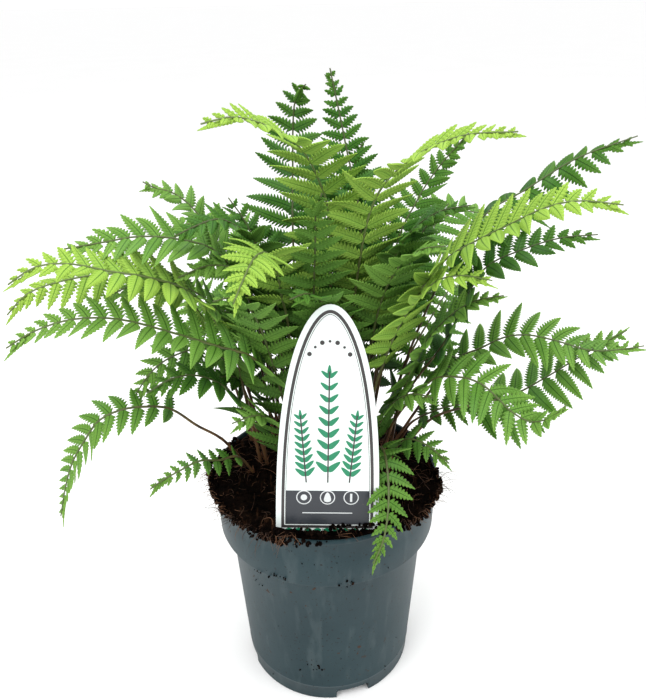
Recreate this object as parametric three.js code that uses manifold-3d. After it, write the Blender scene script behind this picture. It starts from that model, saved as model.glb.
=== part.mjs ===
// Potted wood fern: a nursery pot filled with peat, a crown of arching fronds and a stick-in label.
// Millimetres, +Z up, front at -Y. The origin is the middle of the pot's underside, on the floor.
import * as THREE from "three";
import Module from "manifold-3d";

const wasm = await Module();
wasm.setup();

// Pot: a round shell with a wide rim band, a stepped shoulder and a foot ring with drain notches
const POT_HEIGHT = 178.5;
const RIM_RADIUS = 85;
const BAND_HEIGHT = 42.5;
const BAND_RADIUS = 83.7;
const WALL_TOP_RADIUS = 75.9;
const BASE_RADIUS = 68;
const WALL = 1.7;
const BAND_WALL = 2;
const LIP_WIDTH = 2.6;
const SHOULDER_RISE = 2.4;
const FOOT_DISC_RADIUS = 46;
const CHANNEL_HEIGHT = 10;
const CHANNEL_INNER = 49;
const CHANNEL_OUTER = 62;
const FOOT_RING_INNER = 63.5;
const FLOOR_THICKNESS = 2;
const NOTCH_COUNT = 4;
const NOTCH_WIDTH = 27;
const NOTCH_HEIGHT = 9;
const NOTCH_DEPTH = 9;
const NOTCH_TURN = -74;
const DRAIN_HOLE_RADIUS = 4;
const SECTORS = 24;

// Soil: fills the pot, mounds up under the crown and spills over the rim on two sides
const SEAT_GAP = 0.3;
const SOIL_EDGE_HEIGHT = 174.5;
const SOIL_CROWN_RISE = 6;
const CROWN_CENTRE = [2, 25];
const CROWN_SPREAD = 45;
const SPILL_REACH = 9;
const SPILL_RISE = 6;
const SPILLS = [
  { turn: 212, width: 50 },
  { turn: 328, width: 30 },
];
const SOIL_RINGS = [64, 30];

// Label: a flat plastic tag with a pointed arch, standing in the soil at the front
const LABEL_HALF_WIDTH = 35;
const LABEL_HEIGHT = 160;
const LABEL_THICKNESS = 0.8;
const LABEL_LEAN = 12;
const LABEL_TURN = 1.8;
const LABEL_FOOT = [0, -71, 174];
const LABEL_BURIED = 5;
const LABEL_ARCH_POWER = 2.6;
const LABEL_ARCH_STEPS = 8;
const STAKE_HALF_WIDTH = 9;
const STAKE_END_HALF_WIDTH = 4;
const STAKE_LENGTH = 24;
const STAKE_POINT = 6;

// Fronds: a three-sided rib from the soil to the tip, with pairs of cut leaflets grown from its sides
const STALK_RADIUS = 1.3;
const TIP_RADIUS = 0.5;
const HOLE_GAP = 0.9;
const HOLE_SIDES = 4;
const HOLE_DEPTH = 20;
const BARE_STEP = 60;
const LEAFLET_THICKNESS = 0.7;
const LEAFLET_CLEARANCE = 0.45;
const LEAFLET_SPACING = 0.6;
const LEAFLET_DROOP = 0.12;
const BASE_TILT = 8;
const TIP_TILT = 38;
const FIRST_PAIR = 0.6;
const TIP_CROWDING = 0.3;
const LONG_LEAFLET = 36;
const LONG_ROOT_WIDTH = 5;
const WIDEST_SHARE = 0.34;
const SHORTEST_LEAFLET = 4.5;
const LEAST_ROOT_WIDTH = 3.2;
const ROOT_SHARE = 0.42;
const ROOT_PITCH_SHARE = 0.8;
const FIRST_LENGTH_SHARE = 0.78;
const FULL_LENGTH_AT = 0.22;
const TAPER_FROM = 0.4;
const TAPER = 0.94;
const TAPER_POWER = 1.35;
// The blades turn their faces towards the light, which comes from above and in front
const LIGHT = new THREE.Vector3(0, -0.8, 0.6);
const LIGHT_TURN = 26;
// A leaflet that would cross a neighbour is lifted or lowered by these degrees, or else kept shorter
const BENDS = [0, 14, -14, 28, -28, 42, -42];
const LENGTH_SHARES = [1, 0.75, 0.5];

// Each frond: its name, the bare share of its rib, its longest leaflet, how many degrees its leaflets are
// held up, its pairs of leaflets, how light its green is, and its route from the root in the soil to the tip
const FRONDS = [
  ["crown_arch", 0.36, 39, 16, 19, "bright",
    [[0, 20, 166], [4, 16, 260], [6, 10, 363], [-2, 5, 401],
      [-17, -15, 428], [-43, -45, 445], [-64, -60, 444]]],
  ["right_front_arch", 0.34, 36, 16, 22, "bright",
    [[14, 22, 166], [18, 16, 260], [25, 4, 340], [34, -8, 388],
      [52, -26, 416], [76, -52, 434], [103, -75, 440]]],
  ["bright_young", 0.56, 31, 14, 12, "bright",
    [[-16, 10, 166], [-24, -2, 296], [-27, -8, 321], [-29, -16, 344],
      [-33, -30, 362], [-39, -50, 367], [-44, -70, 362], [-50, -86, 351]]],
  ["left_front_long", 0.3, 31, 18, 20, "green",
    [[-30, 4, 166], [-32, -4, 224], [-37, -14, 262], [-48, -26, 288], [-70, -36, 302],
      [-96, -44, 316], [-124, -52, 329], [-150, -57, 332], [-174, -60, 326], [-194, -62, 315]]],
  ["right_light", 0.46, 35, 14, 16, "bright",
    [[30, 8, 166], [42, 2, 261], [55, -4, 303], [68, -8, 331], [82, -14, 352],
      [99, -24, 367], [114, -34, 379], [130, -46, 392], [146, -55, 398], [168, -66, 398]]],
  ["right_front_curl", 0.34, 31, 8, 14, "green",
    [[38, 10, 166], [53, 4, 217], [76, -4, 254], [94, -14, 263], [108, -24, 263],
      [118, -34, 257], [126, -42, 251], [137, -50, 248], [147, -58, 256], [154, -64, 270]]],
  ["left_upper", 0.42, 39, 14, 16, "green",
    [[-34, 22, 166], [-44, 12, 282], [-56, 4, 330], [-70, -2, 355],
      [-91, -8, 365], [-114, -16, 370], [-135, -23, 369], [-160, -30, 367]]],
  ["right_mid_arch", 0.3, 33, 14, 15, "green",
    [[52, 36, 166], [80, 34, 218], [101, 30, 253], [118, 26, 265], [135, 22, 276],
      [151, 16, 280], [170, 6, 279], [187, -6, 278], [203, -14, 282], [218, -22, 289]]],
  ["right_low", 0.36, 40, -4, 11, "green",
    [[58, 28, 166], [84, 28, 201], [114, 24, 216], [144, 20, 227],
      [164, 14, 244], [181, 6, 263], [198, 0, 280], [212, -5, 293]]],
  ["left_droop", 0.36, 21, 10, 16, "green",
    [[-62, 16, 166], [-78, 6, 200], [-96, 0, 218], [-113, -5, 236], [-133, -10, 241], [-148, -15, 241],
      [-162, -19, 235], [-173, -22, 221], [-184, -25, 204], [-193, -27, 181], [-200, -29, 157]]],
  ["left_far", 0.46, 31, 12, 15, "bright",
    [[-46, 18, 166], [-58, 8, 252], [-70, -6, 299], [-86, -20, 333], [-107, -34, 349],
      [-127, -46, 358], [-147, -54, 366], [-166, -58, 366], [-184, -62, 356]]],
  ["right_dark_stem", 0.4, 34, 12, 14, "shade",
    [[44, 22, 166], [60, 18, 226], [88, 12, 278], [102, 6, 320],
      [112, 3, 339], [131, -2, 351], [155, -5, 360], [180, -8, 363]]],
  ["far_right_long", 0.5, 35, -18, 12, "shade",
    [[46, 46, 166], [66, 44, 250], [92, 36, 330], [113, 30, 366],
      [141, 35, 382], [172, 30, 404], [207, 20, 420]]],
  ["left_low", 0.34, 32, 4, 11, "green",
    [[-54, 30, 166], [-59, 26, 224], [-72, 22, 258], [-87, 18, 273],
      [-104, 14, 272], [-120, 10, 265], [-131, 4, 255], [-140, 0, 242]]],
  ["left_small", 0.3, 13, 10, 10, "green",
    [[-52, 0, 166], [-64, -14, 198], [-77, -24, 203], [-90, -33, 209],
      [-103, -40, 206], [-115, -44, 201], [-124, -48, 196]]],
  ["label_side", 0.28, 20, 8, 12, "green",
    [[36, -2, 166], [38, -18, 206], [41, -44, 220], [42, -68, 204], [38, -86, 184], [30, -94, 166]]],
  ["left_top", 0.5, 33, 8, 13, "green",
    [[-40, 34, 166], [-51, 34, 272], [-62, 33, 321], [-74, 33, 351], [-84, 35, 367],
      [-92, 36, 377], [-102, 35, 385], [-112, 31, 389], [-120, 27, 395]]],
  ["left_dark", 0.44, 35, 10, 15, "shade",
    [[-24, 26, 166], [-34, 22, 301], [-38, 12, 341], [-46, 6, 361],
      [-55, 0, 371], [-65, -8, 378], [-77, -17, 377], [-92, -26, 372]]],
  ["back_upright", 0.4, 32, 10, 20, "shade",
    [[22, 42, 166], [27, 46, 260], [29, 50, 351], [19, 68, 407], [8, 80, 460]]],
  ["back_left_upright", 0.32, 43, 6, 17, "shade",
    [[-14, 40, 166], [-20, 48, 260], [-21, 60, 344], [-20, 75, 390], [-17, 70, 436], [-8, 50, 452]]],
  ["right_back_arch", 0.36, 38, 8, 18, "shade",
    [[34, 34, 166], [42, 32, 260], [52, 30, 342], [68, 45, 373], [82, 50, 394], [102, 45, 420]]],
  ["centre_left_inner", 0.34, 32, 10, 12, "green",
    [[-22, -6, 166], [-26, -16, 230], [-36, -22, 287], [-44, -32, 321], [-54, -44, 338], [-66, -58, 342]]],
  ["centre_fine", 0.38, 31, 6, 15, "shade",
    [[-6, 4, 166], [-8, -2, 250], [-6, -8, 320], [-4, -18, 362], [-3, -28, 386], [1, -40, 402]]],
  ["right_yellow", 0.46, 32, 10, 12, "bright",
    [[22, -2, 166], [34, -6, 240], [50, -14, 300], [68, -26, 336], [84, -38, 348], [104, -48, 348]]],
  ["right_inner_high", 0.38, 35, 10, 14, "shade",
    [[26, 26, 166], [36, 22, 260], [44, 18, 320], [56, 10, 356], [74, 2, 376], [96, -8, 384]]],
  ["right_inner_mid", 0.34, 33, 10, 11, "green",
    [[48, 10, 166], [56, 8, 226], [66, 2, 270], [82, -4, 300], [100, -10, 318], [120, -18, 326]]],
  ["left_mid", 0.38, 33, 10, 14, "green",
    [[-50, 12, 166], [-58, 2, 240], [-64, -4, 296], [-78, -10, 324],
      [-98, -16, 338], [-118, -20, 340], [-140, -22, 332]]],
  ["left_low_inner", 0.3, 31, 6, 10, "shade",
    [[-44, 8, 166], [-52, -4, 220], [-66, -16, 256], [-84, -24, 273], [-102, -30, 275], [-120, -34, 266]]],
  ["left_edge", 0.44, 31, -6, 15, "bright",
    [[-58, 40, 166], [-73, 36, 243], [-88, 30, 292], [-108, 20, 324], [-131, 8, 336],
      [-153, -4, 340], [-175, -14, 339], [-192, -21, 334], [-206, -26, 321]]],
  ["right_small", 0.34, 22, 10, 7, "green",
    [[60, 41, 166], [70, 40, 190], [90, 36, 205], [110, 32, 213], [130, 28, 219]]],
  ["label_right_small", 0.3, 20, 6, 7, "green",
    [[46, -8, 166], [50, -12, 196], [58, -18, 214], [72, -28, 216], [88, -38, 206]]],
  ["back_mid_arch", 0.34, 40, 10, 15, "shade",
    [[4, 54, 166], [6, 72, 270], [4, 94, 334], [2, 124, 362], [-2, 158, 358], [-6, 186, 334]]],
  ["back_left_arch", 0.34, 38, 10, 15, "green",
    [[-34, 48, 166], [-48, 66, 260], [-66, 90, 312], [-92, 116, 334], [-124, 140, 330], [-152, 160, 306]]],
  ["back_right_arch", 0.34, 38, 10, 15, "green",
    [[36, 54, 166], [54, 72, 258], [74, 94, 316], [102, 118, 340], [136, 140, 336], [164, 156, 312]]],
  ["back_left_low", 0.3, 34, 8, 11, "green",
    [[-50, 48, 166], [-68, 66, 226], [-90, 92, 262], [-112, 122, 276], [-130, 152, 270]]],
  ["back_right_low", 0.3, 34, 8, 11, "green",
    [[50, 50, 166], [66, 66, 226], [92, 94, 262], [112, 124, 274], [128, 152, 264]]],
  ["back_low", 0.3, 34, 8, 11, "shade",
    [[-14, 58, 166], [-16, 88, 224], [-18, 122, 250], [-20, 156, 244], [-22, 184, 216]]],
  ["inner_left_low", 0.26, 31, 6, 8, "shade",
    [[-30, 30, 166], [-38, 26, 200], [-50, 20, 232], [-66, 12, 252], [-86, 2, 256]]],
  ["inner_left_front", 0.3, 29, 6, 8, "green",
    [[-24, -12, 166], [-27, -20, 206], [-33, -30, 236], [-45, -42, 252], [-62, -52, 252]]],
  ["inner_mid", 0.34, 31, 6, 9, "shade",
    [[8, 32, 166], [9, 29, 220], [10, 20, 262], [8, 6, 290], [4, -10, 300]]],
  ["inner_right_front", 0.3, 29, 6, 8, "green",
    [[29, -2, 166], [36, -4, 204], [46, -10, 236], [60, -18, 252], [78, -28, 254]]],
  ["inner_right_low", 0.28, 31, 6, 9, "shade",
    [[37, 44, 166], [50, 42, 206], [66, 36, 240], [86, 28, 258], [108, 18, 260]]],
  ["back_inner_left", 0.3, 34, 6, 9, "shade",
    [[-26, 58, 166], [-38, 56, 220], [-54, 60, 258], [-74, 66, 280], [-98, 72, 284]]],
  ["back_inner_right", 0.3, 34, 6, 9, "shade",
    [[26, 60, 166], [36, 64, 220], [52, 70, 262], [72, 76, 286], [98, 82, 290]]],
  ["left_centre", 0.38, 33, 10, 13, "green",
    [[-10, 26, 166], [-20, 20, 250], [-32, 8, 310], [-48, -4, 338], [-70, -16, 350], [-92, -28, 346]]],
  ["centre_front", 0.4, 30, 8, 12, "shade",
    [[10, 2, 166], [9, -8, 240], [7, -18, 296], [2, -32, 326], [-8, -48, 342], [-20, -62, 344]]],
  ["centre_right", 0.4, 33, 10, 13, "green",
    [[22, 12, 166], [30, 4, 250], [38, -4, 310], [48, -16, 344], [60, -30, 362], [74, -46, 370]]],
  ["back_centre", 0.4, 37, 10, 12, "shade",
    [[10, 48, 166], [12, 56, 260], [16, 64, 330], [22, 72, 376], [32, 82, 410]]],
  ["left_back_upright", 0.42, 35, 10, 10, "shade",
    [[-26, 44, 166], [-36, 48, 260], [-44, 54, 320], [-54, 60, 352], [-68, 64, 374]]],
  ["right_back_upright", 0.42, 35, 10, 10, "shade",
    [[30, 47, 166], [48, 48, 260], [64, 50, 320], [76, 54, 350], [94, 58, 368]]],
].map(([name, bare, reach, rise, pairs, tone, route]) => ({ name, bare, reach, rise, pairs, tone, route }));

const UP = new THREE.Vector3(0, 0, 1);
const radians = THREE.MathUtils.degToRad;
const clamp01 = (value) => Math.min(1, Math.max(0, value));

const looks = {
  pot: new THREE.MeshStandardMaterial({ name: "pot_plastic", color: 0x45545a, roughness: 0.45 }),
  soil: new THREE.MeshStandardMaterial({ name: "peat", color: 0x1c1412, roughness: 1 }),
  label: new THREE.MeshStandardMaterial({ name: "label_plastic", color: 0xeef4f0, roughness: 0.35 }),
  bright: new THREE.MeshStandardMaterial({ name: "leaf_bright", color: 0x7cc142, roughness: 0.6 }),
  green: new THREE.MeshStandardMaterial({ name: "leaf_green", color: 0x4f9a2c, roughness: 0.6 }),
  shade: new THREE.MeshStandardMaterial({ name: "leaf_shade", color: 0x2f6b22, roughness: 0.6 }),
};

// A surface is built from shared points, so what closes on itself stays closed
class Surface {
  points = [];
  faces = [];
  add(point) {
    this.points.push(point);
    return this.points.length - 1;
  }
  triangle(a, b, c) {
    this.faces.push(a, b, c);
  }
  quad(a, b, c, d) {
    this.triangle(a, b, c);
    this.triangle(a, c, d);
  }
  solid() {
    const vertProperties = new Float32Array(this.points.flatMap((point) => point.toArray()));
    const triVerts = new Uint32Array(this.faces);
    return new wasm.Manifold(new wasm.Mesh({ numProp: 3, vertProperties, triVerts }));
  }
}

function geometryOf(solid) {
  const mesh = solid.getMesh();
  const points = new Float32Array(mesh.numVert * 3);
  for (let i = 0; i < mesh.numVert; i++) {
    const start = i * mesh.numProp;
    points.set(mesh.vertProperties.subarray(start, start + 3), i * 3);
  }
  const geometry = new THREE.BufferGeometry();
  geometry.setAttribute("position", new THREE.BufferAttribute(points, 3));
  geometry.setIndex(new THREE.BufferAttribute(new Uint32Array(mesh.triVerts), 1));
  geometry.computeVertexNormals();
  return geometry;
}

function solidOf(geometry) {
  const surface = new Surface();
  const seen = new Map();
  const position = geometry.getAttribute("position");
  const indexOf = (i) => {
    const point = new THREE.Vector3().fromBufferAttribute(position, i);
    const key = point.toArray().map((value) => value.toFixed(3)).join();
    if (!seen.has(key)) seen.set(key, surface.add(point));
    return seen.get(key);
  };
  const order = geometry.index ? geometry.index.array : [...Array(position.count).keys()];
  for (let i = 0; i < order.length; i += 3) {
    const [a, b, c] = [indexOf(order[i]), indexOf(order[i + 1]), indexOf(order[i + 2])];
    if (a !== b && b !== c && c !== a) surface.triangle(a, b, c);
  }
  return surface.solid();
}

function onCircle(radius, turn, height) {
  const angle = radians(turn);
  return new THREE.Vector3(radius * Math.cos(angle), radius * Math.sin(angle), height);
}

// A turned body from rings of equal point counts, closed by a middle point at each end
function turned(rings, bottom, top) {
  const surface = new Surface();
  const rows = rings.map((ring) => ring.map((point) => surface.add(point)));
  const ends = [surface.add(bottom), surface.add(top)];
  for (let j = 0; j < SECTORS; j++) {
    const next = (j + 1) % SECTORS;
    for (let i = 0; i + 1 < rows.length; i++) {
      surface.quad(rows[i][j], rows[i][next], rows[i + 1][next], rows[i + 1][j]);
    }
    surface.triangle(ends[0], rows[0][next], rows[0][j]);
    surface.triangle(ends[1], rows[rows.length - 1][j], rows[rows.length - 1][next]);
  }
  return surface.solid();
}

function turnedProfile(profile) {
  const [bottom, top] = [profile[0], profile[profile.length - 1]];
  const rings = profile.slice(1, -1).map(([radius, height]) =>
    Array.from({ length: SECTORS }, (_, j) => onCircle(radius, (360 * j) / SECTORS, height)),
  );
  return turned(rings, new THREE.Vector3(0, 0, bottom[1]), new THREE.Vector3(0, 0, top[1]));
}

const SHOULDER_HEIGHT = POT_HEIGHT - BAND_HEIGHT;
const FLOOR_HEIGHT = CHANNEL_HEIGHT + FLOOR_THICKNESS;
const INNER_BASE_RADIUS = BASE_RADIUS - WALL;
const INNER_SHOULDER_RADIUS = WALL_TOP_RADIUS - WALL;
const INNER_BAND_RADIUS = BAND_RADIUS - BAND_WALL;
const MOUTH_RADIUS = RIM_RADIUS - LIP_WIDTH;

// The space inside the pot, from the middle of its floor to its mouth
const INSIDE = [
  [FOOT_DISC_RADIUS - 1, FLOOR_THICKNESS],
  [CHANNEL_INNER - 1.2, FLOOR_HEIGHT],
  [INNER_BASE_RADIUS, FLOOR_HEIGHT],
  [INNER_SHOULDER_RADIUS, SHOULDER_HEIGHT - 0.4],
  [INNER_BAND_RADIUS, SHOULDER_HEIGHT + SHOULDER_RISE],
];

function makePot() {
  const outside = [
    [0, 0],
    [FOOT_DISC_RADIUS, 0],
    [CHANNEL_INNER, CHANNEL_HEIGHT],
    [CHANNEL_OUTER, CHANNEL_HEIGHT],
    [FOOT_RING_INNER, 0],
    [BASE_RADIUS, 0],
    [WALL_TOP_RADIUS, SHOULDER_HEIGHT - SHOULDER_RISE],
    [BAND_RADIUS - 1.2, SHOULDER_HEIGHT],
    [BAND_RADIUS, SHOULDER_HEIGHT + 1.6],
    [RIM_RADIUS - 0.8, POT_HEIGHT - 2.7],
    [RIM_RADIUS, POT_HEIGHT - 1.9],
    [RIM_RADIUS, POT_HEIGHT],
    [MOUTH_RADIUS, POT_HEIGHT],
  ];
  let pot = turnedProfile([...outside, ...INSIDE.toReversed(), [0, FLOOR_THICKNESS]]);
  for (let k = 0; k < NOTCH_COUNT; k++) {
    const turn = NOTCH_TURN + (360 * k) / NOTCH_COUNT;
    const notch = new THREE.BoxGeometry(NOTCH_DEPTH, NOTCH_WIDTH, NOTCH_HEIGHT + 1);
    notch.translate((FOOT_RING_INNER + BASE_RADIUS) / 2, 0, (NOTCH_HEIGHT - 1) / 2);
    notch.rotateZ(radians(turn));
    const hole = new THREE.CylinderGeometry(DRAIN_HOLE_RADIUS, DRAIN_HOLE_RADIUS, 3 * FLOOR_THICKNESS, 6);
    hole.rotateX(Math.PI / 2);
    hole.translate((CHANNEL_INNER + CHANNEL_OUTER) / 2, 0, FLOOR_HEIGHT - FLOOR_THICKNESS / 2);
    hole.rotateZ(radians(turn + 180 / NOTCH_COUNT));
    pot = pot.subtract(solidOf(notch)).subtract(solidOf(hole));
  }
  return pot;
}

// How far the soil spills over the rim at a turn round the pot, from 0 to 1
function spillAt(turn) {
  const shares = SPILLS.map((spill) => {
    const away = Math.abs(((turn - spill.turn + 540) % 360) - 180);
    return THREE.MathUtils.smoothstep(1.6 - away / spill.width, 0, 1.2);
  });
  return Math.max(...shares);
}

function soilHeight(x, y) {
  const away = Math.hypot(x - CROWN_CENTRE[0], y - CROWN_CENTRE[1]) / CROWN_SPREAD;
  const turn = (THREE.MathUtils.radToDeg(Math.atan2(y, x)) + 360) % 360;
  const edge = clamp01(Math.hypot(x, y) / MOUTH_RADIUS);
  const lumps = 0.8 * Math.sin(x / 9) * Math.cos(y / 11);
  const mound = SOIL_CROWN_RISE * Math.exp(-away * away);
  return SOIL_EDGE_HEIGHT + mound + SPILL_RISE * spillAt(turn) * edge ** 3 + lumps;
}

function makeSoil() {
  const turns = Array.from({ length: SECTORS }, (_, j) => (360 * j) / SECTORS);
  const inside = INSIDE.map(([radius, height], i) => {
    const lift = i < 3 ? SEAT_GAP : 0;
    return turns.map((turn) => onCircle(radius - 1.4 * SEAT_GAP, turn, height + lift));
  });
  const edgeRadius = MOUTH_RADIUS - 1.6 * SEAT_GAP;
  const wallTop = turns.map((turn) => {
    const rise = clamp01(spillAt(turn) / 0.3) * (POT_HEIGHT + SEAT_GAP + 0.3 - SOIL_EDGE_HEIGHT + 1);
    return onCircle(edgeRadius, turn, SOIL_EDGE_HEIGHT - 1 + rise);
  });
  const brim = turns.map((turn, j) => {
    const out = SPILL_REACH * clamp01((spillAt(turn) - 0.62) / 0.38);
    return onCircle(edgeRadius - 0.6 + out, turn, wallTop[j].z + 0.3);
  });
  const shelf = brim.map((point, j) => {
    const radius = Math.hypot(point.x, point.y) - 1.2;
    return onCircle(radius, turns[j], point.z + 0.8 + 0.6 * SPILL_RISE * spillAt(turns[j]));
  });
  const top = SOIL_RINGS.map((radius) =>
    turns.map((turn) => {
      const point = onCircle(radius, turn, 0);
      return point.setZ(soilHeight(point.x, point.y));
    }),
  );
  const bottom = new THREE.Vector3(0, 0, FLOOR_THICKNESS + SEAT_GAP);
  const middle = new THREE.Vector3(0, 0, soilHeight(0, 0));
  return turned([...inside, wallTop, brim, shelf, ...top], bottom, middle);
}

// The label is drawn flat, with its height along Y, then stood up, leant back and turned a little
function standLabel(geometry, thickness) {
  geometry.translate(0, 0, -thickness / 2);
  geometry.rotateZ(radians(-LABEL_TURN));
  geometry.rotateX(radians(90 - LABEL_LEAN));
  geometry.translate(...LABEL_FOOT);
  return solidOf(geometry);
}

function stakeOutline(grow) {
  const half = [
    [LABEL_HALF_WIDTH + grow, -LABEL_BURIED - grow],
    [STAKE_HALF_WIDTH + grow, -LABEL_BURIED - grow],
    [STAKE_END_HALF_WIDTH + grow, -STAKE_LENGTH - grow],
  ];
  const point = [0, -STAKE_LENGTH - STAKE_POINT - 2 * grow];
  return [...half.map(([x, y]) => [-x, y]), point, ...half.toReversed()];
}

function makeLabel() {
  const arch = Array.from({ length: LABEL_ARCH_STEPS }, (_, i) => {
    const share = Math.sin((Math.PI / 2) * ((i + 0.5) / LABEL_ARCH_STEPS));
    return [LABEL_HALF_WIDTH * Math.sqrt(1 - share ** LABEL_ARCH_POWER), LABEL_HEIGHT * share];
  });
  const left = arch.toReversed().map(([x, y]) => [-x, y]);
  const outline = [...stakeOutline(0), ...arch, [0, LABEL_HEIGHT], ...left];
  const shape = new THREE.Shape(outline.map(([x, y]) => new THREE.Vector2(x, y)));
  const plate = new THREE.ExtrudeGeometry(shape, { depth: LABEL_THICKNESS, bevelEnabled: false });
  return standLabel(plate, LABEL_THICKNESS);
}

function makeLabelSlot() {
  const outline = stakeOutline(SEAT_GAP);
  const mouth = 14;
  outline.push([LABEL_HALF_WIDTH + SEAT_GAP, mouth], [-LABEL_HALF_WIDTH - SEAT_GAP, mouth]);
  const shape = new THREE.Shape(outline.map(([x, y]) => new THREE.Vector2(x, y)));
  const depth = LABEL_THICKNESS + 2 * SEAT_GAP;
  return standLabel(new THREE.ExtrudeGeometry(shape, { depth, bevelEnabled: false }), depth);
}

// Position and directions at a share of a frond's route: along the rib, to its left, and off its upper face
function frameAt(frond, share) {
  const along = frond.curve.getTangentAt(clamp01(share));
  const left = frond.left.clone().addScaledVector(along, -frond.left.dot(along)).normalize();
  const face = along.clone().cross(left);
  const lit = Math.atan2(left.dot(LIGHT), face.dot(LIGHT));
  left.applyAxisAngle(along, -radians(LIGHT_TURN) * Math.sin(2 * lit));
  face.crossVectors(along, left);
  return { centre: frond.curve.getPointAt(clamp01(share)), along, left, face };
}

function prepareFrond(frond) {
  const points = frond.route.map((point) => new THREE.Vector3(...point));
  const heading = points[points.length - 1].clone().sub(points[0]).setZ(0).normalize();
  frond.curve = new THREE.CatmullRomCurve3(points, false, "catmullrom", 0.5);
  frond.left = UP.clone().cross(heading);
  frond.length = frond.curve.getLength();
  frond.pitch = (frond.length * (1 - frond.bare)) / (frond.pairs + FIRST_PAIR);
}

// How far along the blade a pair stands, and how far its neighbours are: the pairs crowd towards the tip
function pairPlace(frond, pair) {
  const even = (pair + FIRST_PAIR) / (frond.pairs + FIRST_PAIR);
  const share = even * (1 + TIP_CROWDING * (1 - even));
  return { share, pitch: frond.pitch * (1 + TIP_CROWDING * (1 - 2 * even)) };
}

// Three corners of the rib: upper left, upper right and lower
function ribCorners(frond, share) {
  const { centre, left, face } = frameAt(frond, share);
  const radius = THREE.MathUtils.lerp(STALK_RADIUS, TIP_RADIUS, share);
  const upper = centre.clone().addScaledVector(face, radius / 2);
  return [
    upper.clone().addScaledVector(left, radius),
    upper.clone().addScaledVector(left, -radius),
    centre.clone().addScaledVector(face, -radius),
  ];
}

// Shares of the route where the rib has a section, with the pair of leaflets that starts there
function ribStations(frond) {
  const bareLength = frond.bare * frond.length;
  const steps = Math.ceil(bareLength / BARE_STEP);
  const stations = Array.from({ length: steps }, (_, i) => ({ share: (frond.bare * i) / steps }));
  for (let pair = 0; pair < frond.pairs; pair++) {
    const middle = bareLength + pairPlace(frond, pair).share * (frond.length - bareLength);
    const half = rootWidth(frond, pair) / 2;
    stations.push({ share: (middle - half) / frond.length, pair });
    stations.push({ share: (middle + half) / frond.length });
  }
  return stations;
}

// Length of the leaflets along the blade: lance-shaped, widest below the middle, with a drawn-out tip
function leafletLength(frond, pair) {
  const { share } = pairPlace(frond, pair);
  const rise = THREE.MathUtils.lerp(FIRST_LENGTH_SHARE, 1, clamp01(share / FULL_LENGTH_AT));
  const fall = 1 - TAPER * clamp01((share - TAPER_FROM) / (1 - TAPER_FROM)) ** TAPER_POWER;
  return Math.max(frond.reach * rise * fall, SHORTEST_LEAFLET);
}

// Long leaflets widen from their root and then taper; the others are triangles
function rootWidth(frond, pair) {
  const length = leafletLength(frond, pair);
  if (length > LONG_LEAFLET) return LONG_ROOT_WIDTH;
  const widest = ROOT_PITCH_SHARE * pairPlace(frond, pair).pitch;
  return Math.min(Math.max(ROOT_SHARE * length, LEAST_ROOT_WIDTH), widest);
}

function planLeaflet(frond, pair, side, bend, lengthShare) {
  const place = pairPlace(frond, pair);
  const { centre, along, left, face } = frameAt(frond, frond.bare + (1 - frond.bare) * place.share);
  const tilt = radians(THREE.MathUtils.lerp(BASE_TILT, TIP_TILT, place.share));
  const rise = radians(frond.rise + bend);
  const out = new THREE.Vector3()
    .addScaledVector(left, side * Math.cos(tilt) * Math.cos(rise))
    .addScaledVector(face, Math.cos(tilt) * Math.sin(rise))
    .addScaledVector(along, Math.sin(tilt));
  const across = along.clone().addScaledVector(out, -along.dot(out)).normalize();
  const face2 = across.clone().cross(out).multiplyScalar(side);
  const full = leafletLength(frond, pair);
  const length = Math.max(full * lengthShare, SHORTEST_LEAFLET);
  const halfWidth = (place.pitch * Math.cos(tilt)) / 2 - LEAFLET_SPACING;
  const outline = full > LONG_LEAFLET ? [[WIDEST_SHARE, 1]] : [];
  const rootHalf = rootWidth(frond, pair) / 2;
  return { centre, out, across, face: face2, length, halfWidth, outline, rootHalf, side };
}

// Sections of a leaflet as four corners in the order of its root, then its two tip points
function leafletSections(plan, grow) {
  const { centre, out, across, face, length, halfWidth, outline, side } = plan;
  const half = LEAFLET_THICKNESS / 2 + grow;
  const corner = (share, width, height) =>
    centre
      .clone()
      .addScaledVector(out, length * share)
      .addScaledVector(UP, -LEAFLET_DROOP * length * share * share)
      .addScaledVector(across, -side * width)
      .addScaledVector(face, height);
  const sections = outline.map(([share, widthShare]) => {
    const width = halfWidth * widthShare + grow;
    return [
      corner(share, width, half),
      corner(share, -width, half),
      corner(share, -width, -half),
      corner(share, width, -half),
    ];
  });
  return { sections, tip: [corner(1, 0, half), corner(1, 0, -half)] };
}

function growLeaflet(surface, root, plan, grow = 0) {
  const { sections, tip } = leafletSections(plan, grow);
  let [a, b, c, d] = root;
  for (const section of sections) {
    const [e, f, g, h] = section.map((point) => surface.add(point));
    surface.quad(a, b, f, e);
    surface.quad(b, c, g, f);
    surface.quad(d, h, g, c);
    surface.quad(d, a, e, h);
    [a, b, c, d] = [e, f, g, h];
  }
  const [upper, lower] = tip.map((point) => surface.add(point));
  surface.triangle(a, b, upper);
  surface.quad(b, c, lower, upper);
  surface.triangle(c, d, lower);
  surface.quad(d, a, upper, lower);
}

// A leaflet alone as a solid, a little thicker than life, to test it against its neighbours
function leafletProbe(plan, grow) {
  const surface = new Surface();
  const half = STALK_RADIUS / 2 + grow;
  const corner = (width, height) =>
    plan.centre
      .clone()
      .addScaledVector(plan.out, 0.7 * STALK_RADIUS)
      .addScaledVector(plan.across, -plan.side * width)
      .addScaledVector(plan.face, height);
  const width = plan.rootHalf;
  const root = [corner(width, half), corner(-width, half), corner(-width, -half), corner(width, -half)].map(
    (point) => surface.add(point),
  );
  surface.quad(root[3], root[2], root[1], root[0]);
  growLeaflet(surface, root, plan, grow);
  return surface.solid();
}

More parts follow.
